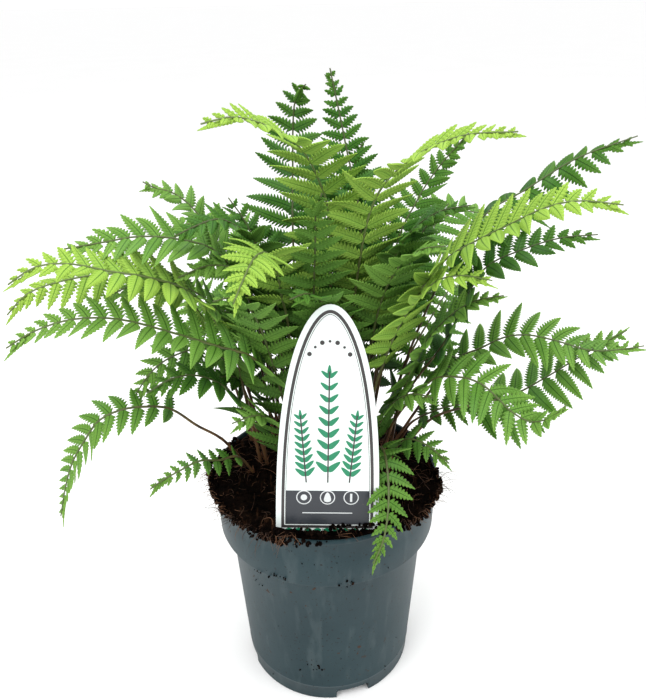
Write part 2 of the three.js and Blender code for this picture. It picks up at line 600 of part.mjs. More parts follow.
function makeFrond(frond) {
  const surface = new Surface();
  const stations = ribStations(frond);
  const corners = stations.map(({ share }) => ribCorners(frond, share).map((point) => surface.add(point)));
  surface.triangle(corners[0][0], corners[0][2], corners[0][1]);
  for (let i = 0; i + 1 < corners.length; i++) {
    const [left, right, lower] = corners[i];
    const [nextLeft, nextRight, nextLower] = corners[i + 1];
    const plans = frond.leaflets[stations[i].pair] ?? [];
    surface.quad(right, nextRight, nextLeft, left);
    if (plans[0]) growLeaflet(surface, [left, nextLeft, nextLower, lower], plans[0]);
    else surface.quad(left, nextLeft, nextLower, lower);
    if (plans[1]) growLeaflet(surface, [nextRight, right, lower, nextLower], plans[1]);
    else surface.quad(right, lower, nextLower, nextRight);
  }
  const tip = surface.add(frond.curve.getPointAt(1));
  const [left, right, lower] = corners[corners.length - 1];
  surface.triangle(left, tip, lower);
  surface.triangle(right, tip, left);
  surface.triangle(right, lower, tip);
  return surface.solid();
}

// The plain hole in the soil that a stem stands in
function makeStemHole(frond) {
  const from = frond.curve.getPointAt(0);
  const to = frond.curve.getPointAt(HOLE_DEPTH / frond.length);
  const reach = from.distanceTo(to);
  const radius = (1.12 * STALK_RADIUS + HOLE_GAP) / Math.cos(Math.PI / HOLE_SIDES);
  const hole = new THREE.CylinderGeometry(radius, radius, reach + SEAT_GAP, HOLE_SIDES);
  hole.translate(0, (reach - SEAT_GAP) / 2, 0);
  const turn = new THREE.Quaternion().setFromUnitVectors(
    new THREE.Vector3(0, 1, 0),
    to.sub(from).normalize(),
  );
  hole.applyQuaternion(turn);
  hole.translate(from.x, from.y, from.z);
  return solidOf(hole);
}

function obstacle(solid, owner) {
  const { min, max } = solid.boundingBox();
  return { solid, owner, min, max };
}

function boxesMeet(one, other) {
  return [0, 1, 2].every((axis) => one.min[axis] <= other.max[axis] && other.min[axis] <= one.max[axis]);
}

function isClear(probe, placed, own) {
  const others = placed.filter((other) => !own.includes(other.owner) && boxesMeet(probe, other));
  return others.every((other) => probe.solid.intersect(other.solid).isEmpty());
}

// The first way to hold a leaflet that keeps it clear of all that is placed, or none
function placeLeaflet(frond, pair, side, placed) {
  const owner = `${frond.name}_${pair}`;
  for (const lengthShare of LENGTH_SHARES) {
    for (const bend of BENDS) {
      const plan = planLeaflet(frond, pair, side, bend, lengthShare);
      const probe = obstacle(leafletProbe(plan, LEAFLET_CLEARANCE), owner);
      if (isClear(probe, placed, [frond.name, owner])) {
        placed.push(obstacle(leafletProbe(plan, 0), owner));
        return plan;
      }
    }
  }
  return null;
}

function build() {
  FRONDS.forEach(prepareFrond);
  const pot = makePot();
  let soil = makeSoil().subtract(makeLabelSlot());
  for (const frond of FRONDS) soil = soil.subtract(makeStemHole(frond));
  const label = makeLabel();
  const placed = [obstacle(pot, "pot"), obstacle(soil, "soil"), obstacle(label, "label")];
  for (const frond of FRONDS) {
    frond.leaflets = [];
    placed.push(obstacle(makeFrond(frond), frond.name));
  }
  for (const frond of FRONDS) {
    for (let pair = 0; pair < frond.pairs; pair++) {
      frond.leaflets[pair] = [1, -1].map((side) => placeLeaflet(frond, pair, side, placed));
    }
  }
  const group = new THREE.Group();
  const show = (name, solid, look) => {
    const mesh = new THREE.Mesh(geometryOf(solid), look);
    mesh.name = name;
    group.add(mesh);
  };
  show("pot", pot, looks.pot);
  show("soil", soil, looks.soil);
  show("label", label, looks.label);
  for (const frond of FRONDS) show("frond_" + frond.name, makeFrond(frond), looks[frond.tone]);
  return group;
}

export default build();
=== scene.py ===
import math
import random

import bmesh
import bpy
from mathutils import Matrix, Vector, kdtree, noise


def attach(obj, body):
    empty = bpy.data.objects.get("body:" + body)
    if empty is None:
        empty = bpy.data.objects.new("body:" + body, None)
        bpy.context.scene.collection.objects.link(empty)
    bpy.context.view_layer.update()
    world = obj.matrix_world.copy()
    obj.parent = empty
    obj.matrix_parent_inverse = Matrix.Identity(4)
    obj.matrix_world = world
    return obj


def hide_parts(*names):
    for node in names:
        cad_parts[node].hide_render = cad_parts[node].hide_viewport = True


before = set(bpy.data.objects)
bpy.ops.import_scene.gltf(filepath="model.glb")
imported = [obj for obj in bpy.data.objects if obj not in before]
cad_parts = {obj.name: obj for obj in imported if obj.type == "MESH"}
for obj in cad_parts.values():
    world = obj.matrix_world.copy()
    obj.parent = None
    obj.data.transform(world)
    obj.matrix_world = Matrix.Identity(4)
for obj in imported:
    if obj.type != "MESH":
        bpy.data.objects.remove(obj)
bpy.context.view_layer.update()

MM = 0.001
UP = Vector((0, 0, 1))

# Camera, in metres, degrees and millimetres
CAMERA_PLACE = Vector((-0.0003, -0.4436, 0.5032))
CAMERA_DIP = 26.8
CAMERA_ROLL = -1.1
CAMERA_LENS = 36
CAMERA_SENSOR = 36

# Light: the world's strength, then each lamp's name, place and width in metres, and power in watts
WORLD_STRENGTH = 1.05
LAMPS = (
    ("key_light", (-0.7, -0.9, 1.5), 0.9, 14),
    ("side_light", (1.1, -0.5, 1.0), 0.9, 6),
    ("top_light", (0.1, 0.5, 1.7), 1.0, 8),
)
LAMP_TARGET = Vector((0, 0, 0.25))
FLOOR_REACH = 60

# Pot, in millimetres
POT_HEIGHT = 178.5
RIM_RADIUS = 85
BAND_RADIUS = 83.7
SHOULDER_HEIGHT = 136
WALL_TOP_RADIUS = 75.9
BASE_RADIUS = 68
MOUTH_RADIUS = 82.4
NOTCH_TURNS = (-74, 16, 106, 196)
NOTCH_WIDTH = 27
NOTCH_HEIGHT = 9
NOTCH_DEPTH = 9
NOTCH_RADIUS = 66
NOTCH_CORNER = 2.5
BELOW_FOOT = 3
POT_STEPS = 112
SHARP_ANGLE = 38

# Soil, in millimetres
SOIL_EDGE_HEIGHT = 174.5
SOIL_CROWN_RISE = 6
CROWN_CENTRE = (2, 25)
CROWN_SPREAD = 45
SPILL_REACH = 9
SPILL_RISE = 6
SPILLS = ((212, 50), (328, 30))
BRIM_RADIUS = 80.8
SOIL_RINGS = 26
SOIL_STEPS = 120
TOP_CRUMBS = 1500
SPILL_CRUMBS = 900
LABEL_CRUMBS = 90
TOP_FIBRES = 420
EDGE_FIBRES = 260
# Crumbs stuck to the pot: turn round it, height, spread and count of each patch
POT_CRUMBS = (
    (237, 134, 6, 22), (242, 141, 3, 9), (248, 140, 2, 7), (279, 139, 5, 10),
    (260, 38, 5, 12), (226, 112, 4, 5), (270, 42, 66, 14), (285, 160, 34, 8),
)

# Label, in millimetres
LABEL_HALF_WIDTH = 35
LABEL_HEIGHT = 160
LABEL_THICKNESS = 0.8
LABEL_LEAN = 12
LABEL_TURN = 1.8
LABEL_FOOT = Vector((0, -71, 174))
LABEL_BURIED = 5
LABEL_ARCH_POWER = 2.6
LABEL_BAND = (5.5, 32)
# Sprigs printed on the label: foot, lean, stem and leaf size of each
SPRIGS = ((-14.5, 5, 48, 4.5), (14.5, -5, 48, 4.5), (0, 0, 78, 5.6))
SPRIG_FOOT = 38
SPRIG_PAIRS = 9
ARC_DOTS = 7
WIDE_FACE = 500

# Fronds, in millimetres and degrees
STALK_RADIUS = 1.3
TIP_RADIUS = 0.5
LEAFLET_SPACING = 0.6
LEAFLET_DROOP = 0.12
LEAFLET_EDGE = 0.35
BASE_TILT = 8
TIP_TILT = 38
FIRST_PAIR = 0.6
TIP_CROWDING = 0.3
LONG_LEAFLET = 36
SHORTEST_LEAFLET = 4.5
LEAST_ROOT_WIDTH = 3.2
ROOT_SHARE = 0.42
ROOT_PITCH_SHARE = 0.8
FIRST_LENGTH_SHARE = 0.78
FULL_LENGTH_AT = 0.22
TAPER_FROM = 0.4
TAPER = 0.94
TAPER_POWER = 1.35
BENDS = (0, 14, -14, 28, -28, 42, -42)
LENGTH_SHARES = (1, 0.75, 0.5)
SPARE_LENGTH_SHARE = 0.4
TIP_MATCH = 0.06
# How much wider a leaflet is than its solid: by a width at its root, and then by a share
WIDER = 0.3
PLUMPNESS = 1.2
# The blades turn their faces towards the light
LIGHT = Vector((0, -0.8, 0.6))
LIGHT_TURN = 26
ROOT_HEIGHT = 166
# Each leaflet's own droop, sweep and twist are drawn between these
DROOPS = (-0.10, 0.20)
SWEEPS = (-0.02, 0.18)
TWISTS = (-45, 45)
SCALES = 22
# Base green of a frond by its tone, from old and dark at 0 to young at 1; the tones are partly painted light
# and shade: bright fronds stand at the front and top, shade fronds are set back inside and behind the crown
FRESH = {"bright": 0.55, "green": 0.3, "shade": 0.12}
# Leaf of each tone: its name, and its green when young, grown and deep in shade; the bright leaf is partly a
# lit copy and the shade leaf a shaded copy of one leaf, painted light and painted shade
LEAF_GREENS = {
    "bright": ("leaf_young_and_lit_green", (0.33, 0.52, 0.075), (0.17, 0.36, 0.045), (0.014, 0.085, 0.003)),
    "green": ("leaf_mid_green", (0.21, 0.39, 0.070), (0.068, 0.20, 0.022), (0.005, 0.042, 0.001)),
    "shade": ("leaf_shaded_green", (0.12, 0.26, 0.035), (0.026, 0.115, 0.010), (0.002, 0.022, 0.0005)),
}
# Painted shade inside the crown of fronds, in metres: its centre line's y, its radius, its floor and its
# height
INNER_Y = 0.03
INNER_RADIUS = 0.15
INNER_FLOOR = 0.19
INNER_HEIGHT = 0.17
TIP_HALF_WIDTH = 2.6
LOBE_WIDTH = 2.6
LOBE_STEPS = 3

# Each frond: name, bare share of its rib, longest leaflet, degrees its leaflets are held up, pairs, tone,
# and its route, whose first point is the root's x and y; the tone paints light on fronds at the front and top
# and shade on fronds set back
FRONDS = (
    ("crown_arch", 0.36, 39, 16, 19, "bright",
     ((0, 20), (4, 16, 260), (6, 10, 363), (-2, 5, 401), (-17, -15, 428), (-43, -45, 445), (-64, -60, 444))),
    ("right_front_arch", 0.34, 36, 16, 22, "bright",
     ((14, 22), (18, 16, 260), (25, 4, 340), (34, -8, 388), (52, -26, 416), (76, -52, 434), (103, -75, 440))),
    ("bright_young", 0.56, 31, 14, 12, "bright",
     ((-16, 10), (-24, -2, 296), (-27, -8, 321), (-29, -16, 344), (-33, -30, 362), (-39, -50, 367),
      (-44, -70, 362), (-50, -86, 351))),
    ("left_front_long", 0.3, 31, 18, 20, "green",
     ((-30, 4), (-32, -4, 224), (-37, -14, 262), (-48, -26, 288), (-70, -36, 302), (-96, -44, 316),
      (-124, -52, 329), (-150, -57, 332), (-174, -60, 326), (-194, -62, 315))),
    ("right_light", 0.46, 35, 14, 16, "bright",
     ((30, 8), (42, 2, 261), (55, -4, 303), (68, -8, 331), (82, -14, 352), (99, -24, 367), (114, -34, 379),
      (130, -46, 392), (146, -55, 398), (168, -66, 398))),
    ("right_front_curl", 0.34, 31, 8, 14, "green",
     ((38, 10), (53, 4, 217), (76, -4, 254), (94, -14, 263), (108, -24, 263), (118, -34, 257),
      (126, -42, 251), (137, -50, 248), (147, -58, 256), (154, -64, 270))),
    ("left_upper", 0.42, 39, 14, 16, "green",
     ((-34, 22), (-44, 12, 282), (-56, 4, 330), (-70, -2, 355), (-91, -8, 365), (-114, -16, 370),
      (-135, -23, 369), (-160, -30, 367))),
    ("right_mid_arch", 0.3, 33, 14, 15, "green",
     ((52, 36), (80, 34, 218), (101, 30, 253), (118, 26, 265), (135, 22, 276), (151, 16, 280), (170, 6, 279),
      (187, -6, 278), (203, -14, 282), (218, -22, 289))),
    ("right_low", 0.36, 40, -4, 11, "green",
     ((58, 28), (84, 28, 201), (114, 24, 216), (144, 20, 227), (164, 14, 244), (181, 6, 263), (198, 0, 280),
      (212, -5, 293))),
    ("left_droop", 0.36, 21, 10, 16, "green",
     ((-62, 16), (-78, 6, 200), (-96, 0, 218), (-113, -5, 236), (-133, -10, 241), (-148, -15, 241),
      (-162, -19, 235), (-173, -22, 221), (-184, -25, 204), (-193, -27, 181), (-200, -29, 157))),
    ("left_far", 0.46, 31, 12, 15, "bright",
     ((-46, 18), (-58, 8, 252), (-70, -6, 299), (-86, -20, 333), (-107, -34, 349), (-127, -46, 358),
      (-147, -54, 366), (-166, -58, 366), (-184, -62, 356))),
    ("right_dark_stem", 0.4, 34, 12, 14, "shade",
     ((44, 22), (60, 18, 226), (88, 12, 278), (102, 6, 320), (112, 3, 339), (131, -2, 351), (155, -5, 360),
      (180, -8, 363))),
    ("far_right_long", 0.5, 35, -18, 12, "shade",
     ((46, 46), (66, 44, 250), (92, 36, 330), (113, 30, 366), (141, 35, 382), (172, 30, 404),
      (207, 20, 420))),
    ("left_low", 0.34, 32, 4, 11, "green",
     ((-54, 30), (-59, 26, 224), (-72, 22, 258), (-87, 18, 273), (-104, 14, 272), (-120, 10, 265),
      (-131, 4, 255), (-140, 0, 242))),
    ("left_small", 0.3, 13, 10, 10, "green",
     ((-52, 0), (-64, -14, 198), (-77, -24, 203), (-90, -33, 209), (-103, -40, 206), (-115, -44, 201),
      (-124, -48, 196))),
    ("label_side", 0.28, 20, 8, 12, "green",
     ((36, -2), (38, -18, 206), (41, -44, 220), (42, -68, 204), (38, -86, 184), (30, -94, 166))),
    ("left_top", 0.5, 33, 8, 13, "green",
     ((-40, 34), (-51, 34, 272), (-62, 33, 321), (-74, 33, 351), (-84, 35, 367), (-92, 36, 377),
      (-102, 35, 385), (-112, 31, 389), (-120, 27, 395))),
    ("left_dark", 0.44, 35, 10, 15, "shade",
     ((-24, 26), (-34, 22, 301), (-38, 12, 341), (-46, 6, 361), (-55, 0, 371), (-65, -8, 378),
      (-77, -17, 377), (-92, -26, 372))),
    ("back_upright", 0.4, 32, 10, 20, "shade",
     ((22, 42), (27, 46, 260), (29, 50, 351), (19, 68, 407), (8, 80, 460))),
    ("back_left_upright", 0.32, 43, 6, 17, "shade",
     ((-14, 40), (-20, 48, 260), (-21, 60, 344), (-20, 75, 390), (-17, 70, 436), (-8, 50, 452))),
    ("right_back_arch", 0.36, 38, 8, 18, "shade",
     ((34, 34), (42, 32, 260), (52, 30, 342), (68, 45, 373), (82, 50, 394), (102, 45, 420))),
    ("centre_left_inner", 0.34, 32, 10, 12, "green",
     ((-22, -6), (-26, -16, 230), (-36, -22, 287), (-44, -32, 321), (-54, -44, 338), (-66, -58, 342))),
    ("centre_fine", 0.38, 31, 6, 15, "shade",
     ((-6, 4), (-8, -2, 250), (-6, -8, 320), (-4, -18, 362), (-3, -28, 386), (1, -40, 402))),
    ("right_yellow", 0.46, 32, 10, 12, "bright",
     ((22, -2), (34, -6, 240), (50, -14, 300), (68, -26, 336), (84, -38, 348), (104, -48, 348))),
    ("right_inner_high", 0.38, 35, 10, 14, "shade",
     ((26, 26), (36, 22, 260), (44, 18, 320), (56, 10, 356), (74, 2, 376), (96, -8, 384))),
    ("right_inner_mid", 0.34, 33, 10, 11, "green",
     ((48, 10), (56, 8, 226), (66, 2, 270), (82, -4, 300), (100, -10, 318), (120, -18, 326))),
    ("left_mid", 0.38, 33, 10, 14, "green",
     ((-50, 12), (-58, 2, 240), (-64, -4, 296), (-78, -10, 324), (-98, -16, 338), (-118, -20, 340),
      (-140, -22, 332))),
    ("left_low_inner", 0.3, 31, 6, 10, "shade",
     ((-44, 8), (-52, -4, 220), (-66, -16, 256), (-84, -24, 273), (-102, -30, 275), (-120, -34, 266))),
    ("left_edge", 0.44, 31, -6, 15, "bright",
     ((-58, 40), (-73, 36, 243), (-88, 30, 292), (-108, 20, 324), (-131, 8, 336), (-153, -4, 340),
      (-175, -14, 339), (-192, -21, 334), (-206, -26, 321))),
    ("right_small", 0.34, 22, 10, 7, "green",
     ((60, 41), (70, 40, 190), (90, 36, 205), (110, 32, 213), (130, 28, 219))),
    ("label_right_small", 0.3, 20, 6, 7, "green",
     ((46, -8), (50, -12, 196), (58, -18, 214), (72, -28, 216), (88, -38, 206))),
    ("back_mid_arch", 0.34, 40, 10, 15, "shade",
     ((4, 54), (6, 72, 270), (4, 94, 334), (2, 124, 362), (-2, 158, 358), (-6, 186, 334))),
    ("back_left_arch", 0.34, 38, 10, 15, "green",
     ((-34, 48), (-48, 66, 260), (-66, 90, 312), (-92, 116, 334), (-124, 140, 330), (-152, 160, 306))),
    ("back_right_arch", 0.34, 38, 10, 15, "green",
     ((36, 54), (54, 72, 258), (74, 94, 316), (102, 118, 340), (136, 140, 336), (164, 156, 312))),
    ("back_left_low", 0.3, 34, 8, 11, "green",
     ((-50, 48), (-68, 66, 226), (-90, 92, 262), (-112, 122, 276), (-130, 152, 270))),
    ("back_right_low", 0.3, 34, 8, 11, "green",
     ((50, 50), (66, 66, 226), (92, 94, 262), (112, 124, 274), (128, 152, 264))),
    ("back_low", 0.3, 34, 8, 11, "shade",
     ((-14, 58), (-16, 88, 224), (-18, 122, 250), (-20, 156, 244), (-22, 184, 216))),
    ("inner_left_low", 0.26, 31, 6, 8, "shade",
     ((-30, 30), (-38, 26, 200), (-50, 20, 232), (-66, 12, 252), (-86, 2, 256))),
    ("inner_left_front", 0.3, 29, 6, 8, "green",
     ((-24, -12), (-27, -20, 206), (-33, -30, 236), (-45, -42, 252), (-62, -52, 252))),
    ("inner_mid", 0.34, 31, 6, 9, "shade",
     ((8, 32), (9, 29, 220), (10, 20, 262), (8, 6, 290), (4, -10, 300))),
    ("inner_right_front", 0.3, 29, 6, 8, "green",
     ((29, -2), (36, -4, 204), (46, -10, 236), (60, -18, 252), (78, -28, 254))),
    ("inner_right_low", 0.28, 31, 6, 9, "shade",
     ((37, 44), (50, 42, 206), (66, 36, 240), (86, 28, 258), (108, 18, 260))),
    ("back_inner_left", 0.3, 34, 6, 9, "shade",
     ((-26, 58), (-38, 56, 220), (-54, 60, 258), (-74, 66, 280), (-98, 72, 284))),
    ("back_inner_right", 0.3, 34, 6, 9, "shade",
     ((26, 60), (36, 64, 220), (52, 70, 262), (72, 76, 286), (98, 82, 290))),
    ("left_centre", 0.38, 33, 10, 13, "green",
     ((-10, 26), (-20, 20, 250), (-32, 8, 310), (-48, -4, 338), (-70, -16, 350), (-92, -28, 346))),
    ("centre_front", 0.4, 30, 8, 12, "shade",
     ((10, 2), (9, -8, 240), (7, -18, 296), (2, -32, 326), (-8, -48, 342), (-20, -62, 344))),
    ("centre_right", 0.4, 33, 10, 13, "green",
     ((22, 12), (30, 4, 250), (38, -4, 310), (48, -16, 344), (60, -30, 362), (74, -46, 370))),
    ("back_centre", 0.4, 37, 10, 12, "shade",
     ((10, 48), (12, 56, 260), (16, 64, 330), (22, 72, 376), (32, 82, 410))),
    ("left_back_upright", 0.42, 35, 10, 10, "shade",
     ((-26, 44), (-36, 48, 260), (-44, 54, 320), (-54, 60, 352), (-68, 64, 374))),
    ("right_back_upright", 0.42, 35, 10, 10, "shade",
     ((30, 47), (48, 48, 260), (64, 50, 320), (76, 54, 350), (94, 58, 368))),
)


def add_object(name, data):
    made = bpy.data.objects.new(name, data)
    bpy.context.scene.collection.objects.link(made)
    return made


# Camera and light

def set_camera():
    dip = math.radians(CAMERA_DIP)
    forward = Vector((0, math.cos(dip), -math.sin(dip)))
    right = Matrix.Rotation(math.radians(CAMERA_ROLL), 3, -forward) @ Vector((1, 0, 0))
    up = right.cross(forward)
    data = bpy.data.cameras.new("camera")
    data.lens = CAMERA_LENS
    data.sensor_width = CAMERA_SENSOR
    camera = add_object("camera", data)
    camera.matrix_world = Matrix((right, up, -forward)).transposed().to_4x4()
    camera.location = CAMERA_PLACE
    bpy.context.scene.camera = camera


def add_light(name, place, size, power):
    data = bpy.data.lights.new(name, "AREA")
    data.shape = "DISK"
    data.size = size
    data.energy = power
    light = add_object(name, data)
    light.location = place
    light.rotation_euler = (LAMP_TARGET - Vector(place)).to_track_quat("-Z", "Y").to_euler()


def set_light():
    world = bpy.data.worlds.new("studio")
    world.use_nodes = True
    background = world.node_tree.nodes["Background"]
    background.inputs["Color"].default_value = (1, 1, 1, 1)
    background.inputs["Strength"].default_value = WORLD_STRENGTH
    bpy.context.scene.world = world
    bpy.context.scene.view_settings.view_transform = "Standard"
    for lamp in LAMPS:
        add_light(*lamp)


# Materials

class Value:
    """A socket whose arithmetic adds Math nodes."""

    def __init__(self, finish, socket):
        self.finish = finish
        self.socket = socket

    def math(self, operation, *others):
        values = [other.socket if isinstance(other, Value) else other for other in others]
        return self.finish.node("ShaderNodeMath", {"operation": operation}, [self.socket, *values])[0]

    def __add__(self, other):
        return self.math("ADD", other)

    __radd__ = __add__

    def __mul__(self, other):
        return self.math("MULTIPLY", other)

    def __sub__(self, other):
        return self.math("SUBTRACT", other)

    def __rsub__(self, other):
        return (self * -1).math("ADD", other)

    def __abs__(self):
        return self.math("ABSOLUTE")

    def fraction(self):
        return self.math("FRACT")

    def step(self, low, high):
        """0 below low and 1 above high, with a smooth rise between them."""
        sockets = {"Value": self.socket, "From Min": low, "From Max": high}
        return self.finish.node("ShaderNodeMapRange", {"interpolation_type": "SMOOTHSTEP"}, sockets)[0]


class Finish:
    """A node material under construction."""

    def __init__(self, name, specular):
        self.material = bpy.data.materials.new(name)
        self.material.use_nodes = True
        self.tree = self.material.node_tree
        self.shader = self.tree.nodes["Principled BSDF"]
        self.shader.inputs["Specular IOR Level"].default_value = specular

    def node(self, kind, settings, sockets):
        """Adds one node, with its settings first, and gives its outputs as values."""
        node = self.tree.nodes.new(kind)
        for key, value in settings.items():
            setattr(node, key, value)
        pairs = sockets.items() if isinstance(sockets, dict) else enumerate(sockets)
        for key, value in pairs:
            source = value.socket if isinstance(value, Value) else value
            if isinstance(source, bpy.types.NodeSocket):
                self.tree.links.new(source, node.inputs[key])
            else:
                node.inputs[key].default_value = source
        return [Value(self, output) for output in node.outputs]

    def place(self, scale=(1, 1, 1)):
        coordinates = self.node("ShaderNodeTexCoord", {}, {})[3]
        return self.node("ShaderNodeMapping", {}, {"Vector": coordinates, "Scale": scale})[0]

    def parts(self, vector):
        return self.node("ShaderNodeSeparateXYZ", {}, {"Vector": vector})

    def attribute(self, name):
        return self.node("ShaderNodeAttribute", {"attribute_name": name}, {})[2]

    def noise(self, scale, detail=3, stretch=(1, 1, 1)):
        sockets = {"Vector": self.place(stretch), "Scale": scale, "Detail": detail}
        return self.node("ShaderNodeTexNoise", {}, sockets)[0]

    def mix(self, share, first, second):
        sockets = {0: share, 6: self.colour(first), 7: self.colour(second)}
        return self.node("ShaderNodeMix", {"data_type": "RGBA"}, sockets)[2]

    def colour(self, value):
        return (*value, 1) if isinstance(value, tuple) else value

    def bump(self, height, strength, distance):
        sockets = {"Height": height, "Strength": strength, "Distance": distance}
        return self.node("ShaderNodeBump", {}, sockets)[0]

    def set(self, **sockets):
        for name, value in sockets.items():
            self.tree.links.new(value.socket, self.shader.inputs[name.replace("_", " ")])
        return self.material


def leaf_finish(name, young, grown, deep):
    """Leaf with a dark midrib groove, a vein to each lobe, pale edges and a duller underside, painted shade
    in the creases between lobes and deep inside the crown, and a painted sheen.
    """
    finish = Finish(name, 0.1)
    uv = finish.parts(finish.node("ShaderNodeUVMap", {"uv_map": "leaf"}, {})[0])
    across = abs(uv[1] * 2 - 1)
    lobe = (uv[0] * finish.attribute("lobes") - across * 0.35).fraction()
    fresh = finish.attribute("fresh")
    under = finish.attribute("under")
    cloud = finish.noise(55, 4)
    fine = finish.noise(900, 2)
    midrib = 1 - across.step(0.03, 0.13)
    vein = (1 - abs(lobe - 0.5).step(0.02, 0.09)) * across.step(0.05, 0.2) * (1 - across.step(0.75, 0.95))
    # Painted shade: the creases between the quilted lobes are darkened towards the deep green
    lobe_crease_shade = abs(lobe - 0.5).step(0.3, 0.5) * (1 - across.step(0.5, 0.8))
    blade = finish.mix((fresh * 0.9 + cloud * 0.5 - 0.25).step(0.0, 1.0), grown, young)
    blade = finish.mix(lobe_crease_shade * 0.45, blade, deep)
    blade = finish.mix(across.step(0.72, 1.0) * 0.35, blade, young)
    blade = finish.mix(vein * 0.3, blade, deep)
    blade = finish.mix(midrib * 0.75, blade, deep)
    # Painted sheen: pale bluish-green patches in the base colour, strongest on older leaflets
    sheen = finish.noise(30, 2).step(0.45, 0.75) * (1 - fresh) * 0.4
    blade = finish.mix(sheen, blade, (0.16, 0.31, 0.13))
    blade = finish.mix(under * 0.35, blade, (0.14, 0.26, 0.05))
    # Painted shade: leaflets deep inside the crown are darkened towards the deep green
    blade = finish.mix(finish.attribute("inner") * 0.88, blade, deep)
    relief = vein * -0.5 - midrib * 0.8 + fine * 0.25
    return finish.set(
        Base_Color=blade,
        Roughness=0.45 + cloud * 0.2 + under * 0.2,
        Normal=finish.bump(relief, 0.5, 0.0004),
    )


def stalk_finish():
    """Stalk that runs from nearly black brown at the soil through tan to green in the blade."""
    finish = Finish("fern_stalk", 0.4)
    along = finish.attribute("along")
    fresh = finish.attribute("fresh")
    streak = finish.noise(220, 3, (1, 1, 0.12))
    lower = finish.mix(streak.step(0.35, 0.7), (0.045, 0.022, 0.012), (0.17, 0.085, 0.035))
    upper = finish.mix(fresh, (0.045, 0.060, 0.014), (0.15, 0.22, 0.055))
    colour = finish.mix((along + streak * 0.3).step(0.3, 0.85), lower, upper)
    return finish.set(
        Base_Color=colour,
        Roughness=0.35 + streak * 0.25,
        Normal=finish.bump(streak, 0.35, 0.0003),
    )


def scale_finish():
    finish = Finish("papery_scales", 0.3)
    grain = finish.noise(400, 2)
    return finish.set(
        Base_Color=finish.mix(grain, (0.10, 0.03, 0.015), (0.34, 0.15, 0.07)),
        Roughness=0.6 + grain * 0.2,
        Normal=finish.bump(grain, 0.3, 0.0002),
    )


def pot_finish():
    """Dark blue-grey moulded plastic, dusted and specked with peat, with faint scuffs and painted highlights
    along the foot ridge and the shoulder.
    """
    finish = Finish("moulded_pot_plastic", 0.16)
    height = finish.parts(finish.place())[2]
    cloud = finish.noise(14, 4)
    scuff = finish.noise(120, 5, (1, 1, 0.25))
    grain = finish.noise(1400, 2)
    specks = finish.noise(480, 2).step(0.665, 0.7)
    splash = finish.noise(150, 3).step(0.66, 0.7) * finish.noise(17, 2).step(0.5, 0.66)
    # Painted highlight: pale lines along the foot ridge and the shoulder ledge
    line = (1 - abs(height - 0.0143).step(0.0003, 0.0007)) + (1 - abs(height - 0.1335).step(0.0003, 0.0008))
    body = finish.mix(cloud.step(0.3, 0.7), (0.013, 0.030, 0.036), (0.021, 0.042, 0.049))
    body = finish.mix(scuff.step(0.5, 0.75) * 0.35, body, (0.07, 0.095, 0.10))
    body = finish.mix(line * 0.35, body, (0.12, 0.15, 0.16))
    body = finish.mix(specks * 0.8, body, (0.012, 0.010, 0.009))
    body = finish.mix(splash * 0.8, body, (0.055, 0.026, 0.014))
    return finish.set(
        Base_Color=body,
        Roughness=0.34 + cloud * 0.12 + scuff * 0.1 + splash * 0.3,
        Normal=finish.bump(grain * 0.4 + scuff * 0.3 + splash, 0.25, 0.0003),
    )


def soil_finish():
    finish = Finish("peat", 0.02)
    fine = finish.noise(420, 5)
    clod = finish.noise(90, 4)
    straw = finish.noise(260, 2, (1, 0.15, 1)).step(0.6, 0.72)
    earth = finish.mix(clod.step(0.3, 0.75), (0.0010, 0.0007, 0.0006), (0.0055, 0.0030, 0.0020))
    earth = finish.mix(fine.step(0.55, 0.8) * 0.5, earth, (0.034, 0.015, 0.008))
    earth = finish.mix(straw * 0.3, earth, (0.08, 0.036, 0.018))
    return finish.set(
        Base_Color=earth,
        Roughness=0.75 + fine * 0.25,
        Normal=finish.bump(fine + clod, 0.9, 0.0015),
    )


def fibre_finish():
    finish = Finish("peat_fibres", 0.3)
    tone = finish.noise(70, 3)
    grain = finish.noise(900, 2)
    return finish.set(
        Base_Color=finish.mix(tone.step(0.35, 0.75), (0.03, 0.014, 0.008), (0.19, 0.09, 0.045)),
        Roughness=0.6 + grain * 0.3,
        Normal=finish.bump(grain, 0.4, 0.0002),
    )


def label_finish(name, ground, tint, gloss):
    """Printed label plastic: a faintly clouded ink over a slightly uneven sheet."""
    finish = Finish(name, 0.5)
    cloud = finish.noise(40, 3)
    grain = finish.noise(1500, 2)
    dust = finish.noise(700, 2).step(0.7, 0.74)
    ink = finish.mix(cloud, ground, tint)
    return finish.set(
        Base_Color=finish.mix(dust * 0.4, ink, (0.10, 0.07, 0.05)),
        Roughness=gloss + cloud * 0.12,
        Normal=finish.bump(grain, 0.08, 0.0002),
    )


def floor_finish():
    finish = Finish("pale_floor", 0.2)
    cloud = finish.noise(2.5, 2)
    return finish.set(
        Base_Color=finish.mix(cloud, (0.93, 0.93, 0.93), (0.96, 0.96, 0.96)),
        Roughness=0.75 + cloud * 0.1,
    )


# Helpers for pieces

def piece_from(name, bm, finishes, node=None, smooth=True):
    mesh = bpy.data.meshes.new(name)
    for face in bm.faces:
        face.smooth = smooth
    bm.to_mesh(mesh)
    bm.free()
    for finish in finishes:
        mesh.materials.append(finish)
    piece = add_object(name, mesh)
    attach(piece, "root")
    if node:
        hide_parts(node)
    return piece


